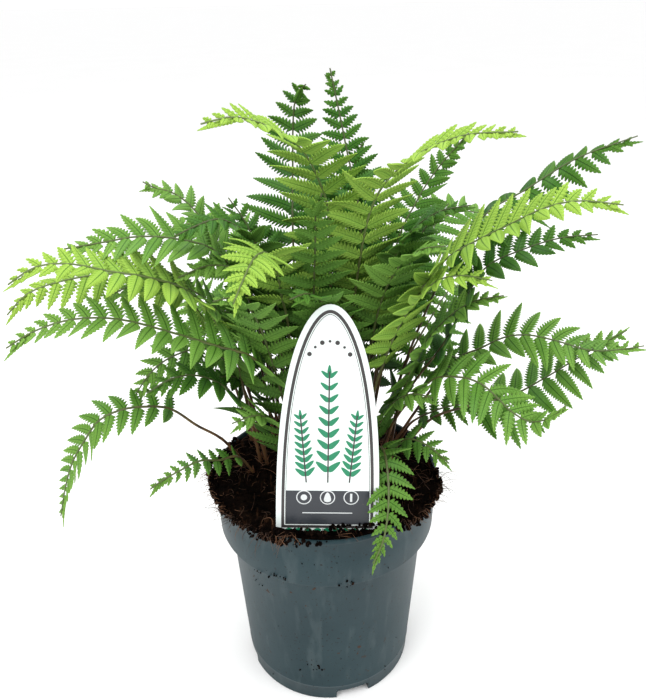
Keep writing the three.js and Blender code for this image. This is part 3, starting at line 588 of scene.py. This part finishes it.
def grow(bm, template, place, material=0, **marks):
    """Adds a copy of a template mesh, with each point put where place says and marked with values."""
    first_vert, first_face = len(bm.verts), len(bm.faces)
    bm.from_mesh(template)
    bm.verts.ensure_lookup_table()
    bm.faces.ensure_lookup_table()
    layers = {name: bm.verts.layers.float[name] for name in marks}
    for vert in bm.verts[first_vert:]:
        for name, value in marks.items():
            vert[layers[name]] = value(vert.co) if callable(value) else value
        vert.co = place(vert.co)
    for face in bm.faces[first_face:]:
        face.material_index = material


def mesh_of(bm, name):
    mesh = bpy.data.meshes.new(name)
    bm.to_mesh(mesh)
    bm.free()
    return mesh


def made_mesh(name, operation, **settings):
    bm = bmesh.new()
    operation(bm, **settings)
    return mesh_of(bm, name)


def tube_template(steps, sides):
    """A closed tube of unit length along X, as a rolled grid: Y and Z are its unit circle."""
    bm = bmesh.new()
    bmesh.ops.create_grid(bm, x_segments=steps, y_segments=sides, size=0.5)
    for vert in bm.verts:
        turn = 2 * math.pi * (vert.co.y + 0.5)
        vert.co = Vector((vert.co.x + 0.5, math.cos(turn), math.sin(turn)))
    bmesh.ops.remove_doubles(bm, verts=bm.verts[:], dist=1e-4)
    rim = [edge for edge in bm.edges if edge.is_boundary]
    bmesh.ops.holes_fill(bm, edges=rim, sides=0)
    bmesh.ops.recalc_face_normals(bm, faces=bm.faces[:])
    return mesh_of(bm, "tube")


def smooth_step(value, low, high):
    share = min(1, max(0, (value - low) / (high - low)))
    return share * share * (3 - 2 * share)


def lerp(first, second, share):
    return first + (second - first) * share


def polar(turn, radius):
    """The x and y of a place at a turn, in degrees, round the pot's axis."""
    return radius * math.cos(math.radians(turn)), radius * math.sin(math.radians(turn))


# Fronds

class Route:
    """A smooth line through a frond's points, read by its share of the length."""

    DIVISIONS = 200

    def __init__(self, points):
        self.points = [2 * points[0] - points[1], *points, 2 * points[-1] - points[-2]]
        self.spans = len(points) - 1
        self.marks = [0]
        last = self.at(0)
        for i in range(1, self.DIVISIONS + 1):
            point = self.at(i / self.DIVISIONS)
            self.marks.append(self.marks[-1] + (point - last).length)
            last = point
        self.length = self.marks[-1]

    def at(self, turn):
        place = min(max(turn, 0), 1) * self.spans
        i = min(int(place), self.spans - 1)
        f = place - i
        a, b, c, d = self.points[i:i + 4]
        square, cube = 2 * a - 5 * b + 4 * c - d, 3 * b - a - 3 * c + d
        return 0.5 * (2 * b + (c - a) * f + square * f * f + cube * f ** 3)

    def turn_of(self, share):
        target = share * self.length
        i = 0
        while i < self.DIVISIONS - 1 and self.marks[i + 1] < target:
            i += 1
        step = self.marks[i + 1] - self.marks[i]
        return (i + (target - self.marks[i]) / step) / self.DIVISIONS

    def point(self, share):
        return self.at(self.turn_of(share))

    def tangent(self, share):
        turn = self.turn_of(share)
        return (self.at(min(turn + 1e-4, 1)) - self.at(max(turn - 1e-4, 0))).normalized()


class Frond:
    """One frond: its route, its directions and the places of its leaflets, in metres."""

    def __init__(self, name, bare, reach, rise, pairs, tone, route):
        self.name, self.bare, self.reach, self.rise = name, bare, reach * MM, rise
        self.pairs, self.tone = pairs, tone
        points = [Vector(point) * MM for point in ((*route[0], ROOT_HEIGHT), *route[1:])]
        self.route = Route(points)
        heading = points[-1] - points[0]
        heading.z = 0
        self.side = UP.cross(heading.normalized())
        self.pitch = self.route.length * (1 - bare) / (pairs + FIRST_PAIR)
        self.random = random.Random(name)

    def frame(self, share):
        share = min(1, max(0, share))
        along = self.route.tangent(share)
        left = (self.side - along * self.side.dot(along)).normalized()
        lit = math.atan2(left.dot(LIGHT), along.cross(left).dot(LIGHT))
        left = Matrix.Rotation(-math.radians(LIGHT_TURN) * math.sin(2 * lit), 3, along) @ left
        return self.route.point(share), along, left, along.cross(left)

    def radius(self, share):
        return lerp(STALK_RADIUS, TIP_RADIUS, share) * MM

    def even_share(self, pair):
        return (pair + FIRST_PAIR) / (self.pairs + FIRST_PAIR)

    def blade_share(self, pair):
        even = self.even_share(pair)
        return even * (1 + TIP_CROWDING * (1 - even))

    def local_pitch(self, pair):
        return self.pitch * (1 + TIP_CROWDING * (1 - 2 * self.even_share(pair)))

    def leaflet_length(self, pair):
        share = self.blade_share(pair)
        rise = lerp(FIRST_LENGTH_SHARE, 1, min(1, share / FULL_LENGTH_AT))
        fall = 1 - TAPER * max(0, (share - TAPER_FROM) / (1 - TAPER_FROM)) ** TAPER_POWER
        return max(self.reach * rise * fall, SHORTEST_LEAFLET * MM)

    def half_width(self, pair, tilt):
        length, pitch = self.leaflet_length(pair), self.local_pitch(pair)
        if length > LONG_LEAFLET * MM:
            return pitch * math.cos(tilt) / 2 - LEAFLET_SPACING * MM
        width = min(max(ROOT_SHARE * length, LEAST_ROOT_WIDTH * MM), ROOT_PITCH_SHARE * pitch)
        return width / 2 + WIDER * MM

    def leaflet(self, pair, side, bend, length_share):
        """Where a leaflet starts, the way it points, its width and face directions, and its size."""
        blade = self.blade_share(pair)
        centre, along, left, face = self.frame(self.bare + (1 - self.bare) * blade)
        tilt, lift = math.radians(lerp(BASE_TILT, TIP_TILT, blade)), math.radians(self.rise + bend)
        out = left * (side * math.cos(tilt) * math.cos(lift))
        out += face * (math.cos(tilt) * math.sin(lift)) + along * math.sin(tilt)
        across = (along - out * along.dot(out)).normalized()
        length = max(self.leaflet_length(pair) * length_share, SHORTEST_LEAFLET * MM)
        return centre, out, across, across.cross(out) * side, length, self.half_width(pair, tilt)

    def held_leaflet(self, pair, side, corners):
        """The leaflet as the frame's solid holds it, or a short one where the solid has none."""
        for length_share in LENGTH_SHARES:
            for bend in BENDS:
                plan = self.leaflet(pair, side, bend, length_share)
                centre, out, _, face, length, _ = plan
                tip = centre + out * length - UP * (LEAFLET_DROOP * length) + face * (LEAFLET_EDGE * MM)
                if corners.find(tip)[2] < TIP_MATCH * MM:
                    return plan
        return self.leaflet(pair, side, 0, SPARE_LENGTH_SHARE)


# A leaflet template is drawn at this size, in metres, and then fitted to each place
TEMPLATE_LENGTH = 0.040
TEMPLATE_HALF_WIDTH = 0.0062
LEAF_THICKNESS = 0.0005
QUILT_HEIGHT = 0.0011
GROOVE_DEPTH = 0.0005
EDGE_CURL = 0.0015


def leaflet_template(lobes):
    """A leaflet along X, cut into blunt forward-slanting lobes, quilted, with a groove along its middle."""
    bm = bmesh.new()
    bmesh.ops.create_grid(bm, x_segments=lobes * LOBE_STEPS, y_segments=4, size=0.5)
    uv = bm.loops.layers.uv.new("leaf")
    under = bm.verts.layers.float.new("under")
    for face in bm.faces:
        for loop in face.loops:
            loop[uv].uv = (loop.vert.co.x + 0.5, loop.vert.co.y + 0.5)
    for vert in bm.verts:
        along, across = vert.co.x + 0.5, 2 * vert.co.y
        phase = (along * lobes) % 1
        body = min(1, 0.7 + 2.4 * along) * max(0, 1 - along ** 1.8) ** 0.85
        cut = (0.58 - 0.25 * along) * abs(2 * phase - 1) ** 3
        reach = body * (1 - cut) * TEMPLATE_HALF_WIDTH
        quilt = QUILT_HEIGHT * math.sin(math.pi * phase) * abs(across) * (1.4 - abs(across)) * body
        groove = GROOVE_DEPTH * body if abs(across) < 0.01 else 0
        curl = EDGE_CURL * across * across * body
        vert.co = Vector((
            along * TEMPLATE_LENGTH + 0.5 * abs(across) * reach,
            across * reach,
            quilt - groove - curl,
        ))
    bmesh.ops.remove_doubles(bm, verts=bm.verts[:], dist=2e-5)
    upper = set(bm.verts)
    bmesh.ops.solidify(bm, geom=bm.faces[:], thickness=LEAF_THICKNESS)
    bm.normal_update()
    for vert in bm.verts:
        vert[under] = 0.0 if vert in upper else 1.0
    bmesh.ops.recalc_face_normals(bm, faces=bm.faces[:])
    return mesh_of(bm, "leaflet")


def crown_shade_share(place):
    """How deep inside the crown of fronds a place is, from 0 at its outside to 1 low in its middle, which
    sets its painted shade.
    """
    aside = math.hypot(place.x, place.y - INNER_Y) / INNER_RADIUS
    above = (place.z - INNER_FLOOR) / INNER_HEIGHT
    return min(1, max(0, 1.15 - aside - above))


def grow_leaflet(bm, frond, plan, templates, fresh, along):
    centre, out, across, face, length, half = plan
    draw = frond.random.uniform
    droop = LEAFLET_DROOP + draw(*DROOPS)
    sweep = draw(*SWEEPS)
    twist = math.radians(draw(*TWISTS))
    lobes = max(3, round(length / (LOBE_WIDTH * MM)))
    if lobes not in templates:
        templates[lobes] = leaflet_template(lobes)

    def place(point):
        share = point.x / TEMPLATE_LENGTH
        turn = twist * share
        width = point.y / TEMPLATE_HALF_WIDTH * half * PLUMPNESS
        lift = point.z
        middle = centre + out * (length * share) + across * (sweep * length * share * share)
        middle -= UP * (droop * length * share * share)
        wide = width * math.cos(turn) - lift * math.sin(turn)
        tall = width * math.sin(turn) + lift * math.cos(turn)
        return middle + across * wide + face * tall

    grow(
        bm, templates[lobes], place,
        lobes=lobes,
        fresh=lambda point: min(1, fresh + 0.25 * (point.x / TEMPLATE_LENGTH) ** 2),
        along=along,
        # inner carries the painted shade deep inside the crown
        inner=crown_shade_share(centre + out * (0.5 * length)),
    )


def grow_rib(bm, frond, tube, fresh):
    def place(point):
        centre, _, left, face = frond.frame(point.x * 0.995)
        radius = frond.radius(point.x) * (1 + 0.35 * max(0, 0.12 - point.x) / 0.12)
        hollow = 0.55 if point.z > 0.5 and point.x > frond.bare else 1
        return centre + left * (point.y * radius) + face * (point.z * radius * hollow)

    grow(bm, tube, place, 1, lobes=1, under=0, inner=0, fresh=fresh, along=lambda point: point.x)


def grow_scales(bm, frond, cone):
    """Papery brown scales on the foot of the stalk, pointing up and out."""
    draw = frond.random.uniform
    foot = 0.34 * frond.bare
    for _ in range(SCALES):
        share = draw(0.02, 1) ** 1.6 * foot + 8 * MM / frond.route.length
        centre, along, left, face = frond.frame(share)
        turn = draw(0, 2 * math.pi)
        away = left * math.cos(turn) + face * math.sin(turn)
        root = centre + away * (frond.radius(share) * 0.7)
        out = (along + away * draw(0.3, 0.9)).normalized()
        wide = out.cross(away).normalized()
        flat = wide.cross(out)
        size, breadth = draw(3, 6.5) * MM, draw(0.35, 0.7) * MM

        def place(point):
            return root + out * (point.z * size) + wide * (point.x * breadth) + flat * (point.y * 0.12 * MM)

        grow(bm, cone, place, 2, lobes=1, under=0, inner=0, fresh=0.5, along=0)


def make_frond(spec, templates, tube, cone, finishes):
    frond = Frond(*spec)
    node = "frond_" + frond.name
    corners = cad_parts[node].data.vertices
    tree = kdtree.KDTree(len(corners))
    for i, corner in enumerate(corners):
        tree.insert(corner.co, i)
    tree.balance()
    bm = bmesh.new()
    for name in ("lobes", "fresh", "along", "under", "inner"):
        bm.verts.layers.float.new(name)
    bm.loops.layers.uv.new("leaf")
    # The tone's base green is partly painted light and shade, by where the frond stands
    base = FRESH[frond.tone] + frond.random.uniform(-0.06, 0.06)
    grow_rib(bm, frond, tube, base)
    for pair in range(frond.pairs):
        blade = frond.blade_share(pair)
        for side in (1, -1):
            fresh = base + 0.4 * blade ** 1.5 + frond.random.uniform(-0.1, 0.1)
            plan = frond.held_leaflet(pair, side, tree)
            grow_leaflet(bm, frond, plan, templates, fresh, blade)
    last = frond.bare + (1 - frond.bare) * frond.blade_share(frond.pairs - 3)
    centre, _, left, face = frond.frame(last)
    reach = frond.route.point(1) - centre
    point = (centre, reach.normalized(), left, face, reach.length * 1.1, TIP_HALF_WIDTH * MM)
    grow_leaflet(bm, frond, point, templates, base + 0.4, 1)
    grow_scales(bm, frond, cone)
    slot = "leaf_" + frond.tone
    piece_from("fern_" + frond.name, bm, finishes[frond.tone], node)


def make_fronds():
    stalk, scales = stalk_finish(), scale_finish()
    finishes = {tone: (leaf_finish(*greens), stalk, scales) for tone, greens in LEAF_GREENS.items()}
    tube = tube_template(44, 7)
    bm = bmesh.new()
    bmesh.ops.create_cone(bm, cap_ends=True, segments=4, radius1=1, radius2=0.05, depth=1)
    bmesh.ops.translate(bm, verts=bm.verts[:], vec=(0, 0, 0.5))
    cone = mesh_of(bm, "scale")
    templates = {}
    for spec in FRONDS:
        make_frond(spec, templates, tube, cone, finishes)


# Pot

def spin_profile(bm, profile, steps):
    """Turns a profile of radius and height, in millimetres, round the pot's axis."""
    verts = [bm.verts.new((radius * MM, 0, height * MM)) for radius, height in profile]
    edges = [bm.edges.new(pair) for pair in zip(verts, verts[1:])]
    bmesh.ops.spin(
        bm, geom=verts + edges, cent=(0, 0, 0), axis=(0, 0, 1),
        angle=2 * math.pi, steps=steps, use_merge=True,
    )
    bmesh.ops.remove_doubles(bm, verts=bm.verts[:], dist=1e-6)
    bmesh.ops.recalc_face_normals(bm, faces=bm.faces[:])


def notch_cutter():
    bm = bmesh.new()
    for turn in NOTCH_TURNS:
        made = bmesh.ops.create_cube(bm, size=1)["verts"]
        size = Vector((NOTCH_DEPTH, NOTCH_WIDTH, NOTCH_HEIGHT + BELOW_FOOT)) * MM
        bmesh.ops.scale(bm, verts=made, vec=size)
        edges = dict.fromkeys(edge for vert in made for edge in vert.link_edges)
        outward = [edge for edge in edges if abs((edge.verts[0].co - edge.verts[1].co).x) > MM]
        top = [edge for edge in outward if edge.verts[0].co.z > 0]
        rounded = bmesh.ops.bevel(
            bm, geom=top, offset=NOTCH_CORNER * MM, affect="EDGES", segments=3, profile=0.5, material=-1,
        )["verts"]
        body = list(dict.fromkeys([*rounded, *(vert for vert in made if vert.is_valid)]))
        place = Vector((NOTCH_RADIUS, 0, (NOTCH_HEIGHT - BELOW_FOOT) / 2)) * MM
        bmesh.ops.translate(bm, verts=body, vec=place)
        bmesh.ops.rotate(
            bm, verts=body, cent=(0, 0, 0), matrix=Matrix.Rotation(math.radians(turn), 3, "Z"),
        )
    return add_object("notches", mesh_of(bm, "notches"))


def make_pot():
    # From the middle of the underside out over the foot, up the outside and down the inside
    profile = (
        (0, 0), (46, 0), (47, 0.6), (49, 10), (62, 10), (63.3, 0.8), (64, 0), (67.2, 0), (68, 0.9),
        (68.65, 13.6), (68.95, 14.2), (68.8, 15), (72.3, 75), (75.7, 132.6), (76.2, 133.7), (77.6, 134.5),
        (81.8, 135.6), (83.2, 136.5), (83.7, 138), (84.1, 160), (84.2, 174.8), (84.7, 175.7), (85, 176.6),
        (85, 177.6), (84.5, 178.4), (83.5, 178.5), (82.7, 178.2), (82.4, 177.5), (81.7, 138.8),
        (80.4, 137.6), (75, 135.8), (74.2, 134.6), (66.3, 12), (47.8, 12), (45, 2), (0, 2),
    )
    bm = bmesh.new()
    spin_profile(bm, profile, POT_STEPS)
    pot = piece_from("pot_shell", bm, [pot_finish()], "pot")
    cutter = notch_cutter()
    cut = pot.modifiers.new("notches", "BOOLEAN")
    cut.object = cutter
    cut.operation = "DIFFERENCE"
    cut.solver = "EXACT"
    shaped = bpy.data.meshes.new_from_object(pot.evaluated_get(bpy.context.evaluated_depsgraph_get()))
    pot.modifiers.clear()
    pot.data = shaped
    bpy.data.objects.remove(cutter)
    shaped.shade_smooth()
    shaped.set_sharp_from_angle(angle=math.radians(SHARP_ANGLE))


# Soil

def spill_at(turn):
    """How far the peat spills over the rim at a turn, from 0 to 1."""
    return max(
        smooth_step(1.6 - abs((turn - centre + 540) % 360 - 180) / width, 0, 1.2) for centre, width in SPILLS
    )


def soil_height(x, y):
    """Height of the peat in millimetres."""
    away = math.hypot(x - CROWN_CENTRE[0], y - CROWN_CENTRE[1]) / CROWN_SPREAD
    turn = math.degrees(math.atan2(y, x)) % 360
    edge = min(1, math.hypot(x, y) / MOUTH_RADIUS)
    lumps = 0.8 * math.sin(x / 9) * math.cos(y / 11)
    rough = 1.4 * noise.noise(Vector((x, y, 0)) / 5) + 0.7 * noise.noise(Vector((x, y, 7)) / 2)
    mound = SOIL_CROWN_RISE * math.exp(-away * away) + SPILL_RISE * spill_at(turn) * edge ** 3
    return SOIL_EDGE_HEIGHT + mound + lumps + rough


def brim_radius(turn):
    return BRIM_RADIUS + SPILL_REACH * min(1, max(0, (spill_at(turn) - 0.6) / 0.4))


def brim_height(turn):
    return SOIL_EDGE_HEIGHT - 0.5 + min(1, spill_at(turn) / 0.3) * 5


def soil_body(bm):
    """The filled inside of the pot as a spun body, its top then raised into mounds and spills."""
    # The top is spun far up at first, which tells its points from the others
    far_up = 400
    rings = [(BRIM_RADIUS * (1 - i / SOIL_RINGS), far_up) for i in range(SOIL_RINGS)]
    profile = (
        (0, 2.3), (44.6, 2.3), (47.4, 12.3), (65.9, 12.3), (73.8, 135.9), (81.3, 138.4), (81.7, 173),
        *rings, (0, far_up),
    )
    spin_profile(bm, profile, SOIL_STEPS)
    for vert in bm.verts:
        if vert.co.z < POT_HEIGHT * MM:
            continue
        turn = math.degrees(math.atan2(vert.co.y, vert.co.x)) % 360
        share = math.hypot(vert.co.x, vert.co.y) / (BRIM_RADIUS * MM)
        radius = share * (brim_radius(turn) + 1.2 * noise.noise(vert.co * 300) * share ** 6)
        x, y = polar(turn, radius)
        height = lerp(soil_height(x, y), brim_height(turn), smooth_step(share, 0.94, 1))
        vert.co = Vector((x, y, height)) * MM


def grow_crumb(bm, template, centre, size, draw):
    stretch = Vector((draw(0.6, 1.3), draw(0.6, 1.3), draw(0.5, 1)))
    spin = Matrix.Rotation(draw(0, 6.28), 3, Vector((draw(-1, 1), draw(-1, 1), draw(0.2, 1))).normalized())

    def place(point):
        knobbly = 1 + 0.3 * noise.noise(point * 2 + centre * 900)
        return centre + spin @ Vector(a * b for a, b in zip(point * size * knobbly, stretch))

    grow(bm, template, place)


def surface_point(turn, radius):
    x, y = polar(turn, radius)
    return Vector((x, y, soil_height(x, y))) * MM


def grow_fibre(bm, template, root, heading, length, thick, bow):
    side = heading.cross(UP)
    side = side.normalized() if side.length > 0.01 else Vector((1, 0, 0))
    lift = side.cross(heading)

    def place(point):
        bend = 4 * point.x * (1 - point.x)
        middle = root + heading * (length * point.x) + (lift * bow[0] + side * bow[1]) * (length * bend)
        taper = thick * (1.15 - 0.7 * point.x)
        return middle + side * (point.y * taper) + lift * (point.z * taper)

    grow(bm, template, place)


def pot_radius(height):
    """The pot's outer radius at a height, in millimetres."""
    if height > SHOULDER_HEIGHT:
        return BAND_RADIUS + 0.4
    return lerp(BASE_RADIUS, WALL_TOP_RADIUS, height / SHOULDER_HEIGHT)


def make_soil():
    draw = random.Random("peat").uniform
    body = bmesh.new()
    soil_body(body)
    bm = bmesh.new()
    bm.from_mesh(mesh_of(body, "peat_body"))
    crumb = made_mesh("crumb", bmesh.ops.create_icosphere, subdivisions=1, radius=1)
    for _ in range(TOP_CRUMBS):
        turn, share = draw(0, 360), math.sqrt(draw(0, 1))
        point = surface_point(turn, share * brim_radius(turn))
        grow_crumb(bm, crumb, point, draw(0.5, 2.0) * MM, draw)
    for _ in range(SPILL_CRUMBS):
        turn = draw(150, 275) if draw(0, 1) < 0.68 else draw(296, 360)
        spill = spill_at(turn)
        if spill < 0.3:
            continue
        drop = draw(0, 1) ** 1.8 * 9 * spill
        radius = brim_radius(turn) + draw(-3, 1.0) - 0.25 * drop
        radius = max(radius, RIM_RADIUS + 0.4) if drop > 2.5 else radius
        height = brim_height(turn) + draw(0, 5) * (1 - drop / 9) - drop
        x, y = polar(turn, radius)
        grow_crumb(bm, crumb, Vector((x, y, height)) * MM, draw(0.6, 2.1) * MM, draw)
    for turn, height, spread, count in POT_CRUMBS:
        for _ in range(count):
            around = turn + draw(-spread, spread)
            up = min(POT_HEIGHT - 5, max(2, height + draw(-spread, spread) * 0.6))
            place = Vector((*polar(around, pot_radius(up) + 0.2), up)) * MM
            grow_crumb(bm, crumb, place, (0.3 + 0.7 * draw(0, 1) ** 2) * MM, draw)
    for _ in range(LABEL_CRUMBS):
        across, up = draw(2, 34), draw(0, 1) ** 1.5 * 8
        place = on_label(Vector((across, up, 1.2 + draw(0, 1) * (8 - up) * 0.5)))
        grow_crumb(bm, crumb, place, draw(0.6, 1.8) * MM, draw)
    piece_from("peat_fill", bm, [soil_finish()], "soil", smooth=False)


def make_fibres():
    """Reddish root fibres and straw that lie in the peat and stick out over the rim."""
    draw = random.Random("fibres").uniform
    thread = tube_template(6, 3)
    bm = bmesh.new()
    for _ in range(TOP_FIBRES):
        turn = draw(0, 360)
        root = surface_point(turn, math.sqrt(draw(0, 1)) * brim_radius(turn))
        way = draw(0, 2 * math.pi)
        heading = Vector((math.cos(way), math.sin(way), draw(-0.1, 0.35))).normalized()
        long, thick = draw(5, 16) * MM, draw(0.12, 0.3) * MM
        grow_fibre(bm, thread, root, heading, long, thick, (draw(0, 0.25), draw(-0.3, 0.3)))
    for _ in range(EDGE_FIBRES):
        turn = draw(160, 255) if draw(0, 1) < 0.72 else draw(300, 355)
        root = surface_point(turn, brim_radius(turn) - draw(0, 3))
        root.z = (brim_height(turn) + draw(-1, 4)) * MM
        way = math.radians(turn + draw(-55, 55))
        heading = Vector((math.cos(way), math.sin(way), draw(-0.9, 0.25))).normalized()
        long = (draw(4, 9) + 12 * draw(0, 1) ** 4) * MM
        thick = draw(0.1, 0.22) * MM
        grow_fibre(bm, thread, root, heading, long, thick, (draw(0, 0.3), draw(-0.3, 0.3)))
    piece_from("peat_fibres", bm, [fibre_finish()], None)


# Label

def on_label(point):
    """A point of the flat drawing, in millimetres, put on the standing label, in metres."""
    turned = Matrix.Rotation(math.radians(-LABEL_TURN), 3, "Z") @ Vector(point)
    stood = Matrix.Rotation(math.radians(90 - LABEL_LEAN), 3, "X") @ turned
    return (stood + LABEL_FOOT) * MM


def label_outline():
    steps = 26
    arch = []
    for i in range(steps + 1):
        share = math.sin(math.pi / 2 * i / steps)
        half = LABEL_HALF_WIDTH * math.sqrt(max(0, 1 - share ** LABEL_ARCH_POWER))
        arch.append((half, LABEL_HEIGHT * share))
    right = [(0, -30), (4, -24), (9, -LABEL_BURIED), (LABEL_HALF_WIDTH, -LABEL_BURIED), *arch]
    left = [(-x, y) for x, y in reversed(right[1:-1])]
    return right + left


def make_label(white, line, band):
    bm = bmesh.new()
    sheet = bm.faces.new([bm.verts.new((x, y, 0)) for x, y in label_outline()])
    plate = bmesh.ops.extrude_face_region(bm, geom=[sheet])["geom"]
    lifted = [item for item in plate if isinstance(item, bmesh.types.BMVert)]
    bmesh.ops.translate(bm, verts=lifted, vec=(0, 0, LABEL_THICKNESS))
    bmesh.ops.recalc_face_normals(bm, faces=bm.faces[:])
    front = max(bm.faces, key=lambda face: face.calc_center_median().z)
    bmesh.ops.bisect_plane(
        bm, geom=[front, *front.edges, *front.verts], plane_co=(0, 0.5, 0), plane_no=(0, 1, 0), dist=1e-5,
    )
    fronts = [face for face in bm.faces if face.normal.z > 0.9]
    inner = max(fronts, key=lambda face: face.calc_center_median().y)
    for inset, index in ((3.6, 0), (2.1, 1), (0.6, 0), (0.4, 1)):
        ring = bmesh.ops.inset_region(bm, faces=[inner], thickness=inset, use_even_offset=True)["faces"]
        for face in ring:
            face.material_index = index
    for height in LABEL_BAND:
        faces = [face for face in bm.faces if face.normal.z > 0.9 and face.calc_area() > WIDE_FACE]
        corners = dict.fromkeys(vert for face in faces for vert in face.verts)
        parts = [*faces, *dict.fromkeys(edge for face in faces for edge in face.edges), *corners]
        bmesh.ops.bisect_plane(bm, geom=parts, plane_co=(0, height, 0), plane_no=(0, 1, 0), dist=1e-5)
    for face in bm.faces:
        centre = face.calc_center_median()
        wide = face.normal.z > 0.9 and face.calc_area() > WIDE_FACE
        if wide and LABEL_BAND[0] < centre.y < LABEL_BAND[1]:
            face.material_index = 2
    for vert in bm.verts:
        vert.co = on_label(vert.co - Vector((0, 0, LABEL_THICKNESS / 2)))
    piece_from("plant_label", bm, [white, line, band], "label", smooth=False)


def add_print(bm, template, centre, size, turn, material, height=0):
    """A flat printed shape, a hair above the label's face."""
    spin = Matrix.Rotation(math.radians(turn), 3, "Z")
    lift = LABEL_THICKNESS / 2 + 0.03 + height

    def place(point):
        flat = spin @ Vector((point.x * size[0], point.y * size[1], 0))
        return on_label(flat + Vector((*centre, lift + point.z * 0.05)))

    grow(bm, template, place, material)


def leaf_print_template(disc):
    """A flat oval leaf shape, pointed at its far end."""
    bm = bmesh.new()
    bm.from_mesh(disc)
    for vert in bm.verts:
        x = vert.co.x
        disc_half = max(0.2, math.sqrt(max(0.04, 1 - x ** 2)))
        vert.co.y *= 0.36 * (1 - 0.45 * x) * math.sqrt(max(0, 1 - abs(x) ** 3)) / disc_half
        vert.co.x += 1
    return mesh_of(bm, "leaf_print")


def make_label_print(line, green, pale, band):
    """Three generic sprigs of oval leaves under an arc of dots, and plain care symbols on the dark band."""
    disc = made_mesh("disc", bmesh.ops.create_cone, cap_ends=True, segments=20, radius1=1, radius2=1, depth=1)
    leaf, bar = leaf_print_template(disc), made_mesh("bar", bmesh.ops.create_cube, size=1)
    bm = bmesh.new()
    for foot, lean, stem, size in SPRIGS:
        root = Vector((foot, SPRIG_FOOT, 0))
        spin = Matrix.Rotation(math.radians(lean), 3, "Z")
        for i in range(SPRIG_PAIRS):
            share = (i + 1) / (SPRIG_PAIRS + 0.5)
            point = root + spin @ Vector((0, stem * share, 0))
            span = size * (1 - 0.4 * share)
            for side in (1, -1):
                add_print(bm, leaf, point.xy, (span, span), 90 + lean - side * 50, 1, 0.01 * i)
        tip = root + spin @ Vector((0, stem * 0.97, 0))
        add_print(bm, leaf, tip.xy, (0.6 * size, 0.6 * size), 90 + lean, 1)
        middle = root + spin @ Vector((0, stem / 2, 0))
        add_print(bm, bar, middle.xy, (0.9, stem), lean, 0, 0.12)
    for i in range(ARC_DOTS):
        turn = math.radians(lerp(40, 140, i / (ARC_DOTS - 1)))
        centre = (17 * math.cos(turn), 112 + 24 * math.sin(turn))
        add_print(bm, disc, centre, (0.9, 0.9) if i % 2 else (1.5, 1.5), 0, 0)
    symbols = ((disc, 27, (2.2, 2.2), 0), (leaf, 23.6, (3.6, 6), 90), (bar, 27, (1.5, 6), 0))
    for x, (shape, y, size, turn) in zip((-16, 0, 16), symbols):
        add_print(bm, disc, (x, 27), (5.2, 5.2), 0, 2)
        add_print(bm, disc, (x, 27), (4.5, 4.5), 0, 3, 0.06)
        add_print(bm, shape, (x, y), size, turn, 2, 0.12)
    add_print(bm, bar, (0, 15.5), (34, 0.7), 0, 2)
    for i in range(9):
        add_print(bm, disc, (-26 + 6.5 * i, 2.6), (2.5, 1.5), 0, 1)
    piece_from("label_print", bm, [line, green, pale, band], None, smooth=False)


def make_labels():
    white = label_finish("label_white", (0.70, 0.77, 0.75), (0.75, 0.81, 0.79), 0.28)
    line = label_finish("printed_dark", (0.03, 0.027, 0.027), (0.045, 0.04, 0.04), 0.3)
    green = label_finish("printed_green", (0.006, 0.17, 0.075), (0.012, 0.23, 0.11), 0.3)
    pale = label_finish("printed_pale", (0.55, 0.58, 0.58), (0.64, 0.67, 0.67), 0.3)
    band = label_finish("printed_grey", (0.022, 0.026, 0.032), (0.032, 0.037, 0.045), 0.3)
    make_label(white, line, band)
    make_label_print(line, green, pale, band)


# Floor

def make_floor():
    mesh = made_mesh("floor", bmesh.ops.create_grid, x_segments=2, y_segments=2, size=FLOOR_REACH)
    mesh.materials.append(floor_finish())
    add_object("floor", mesh)


set_camera()
set_light()
make_floor()
make_pot()
make_soil()
make_fibres()
make_labels()
make_fronds()
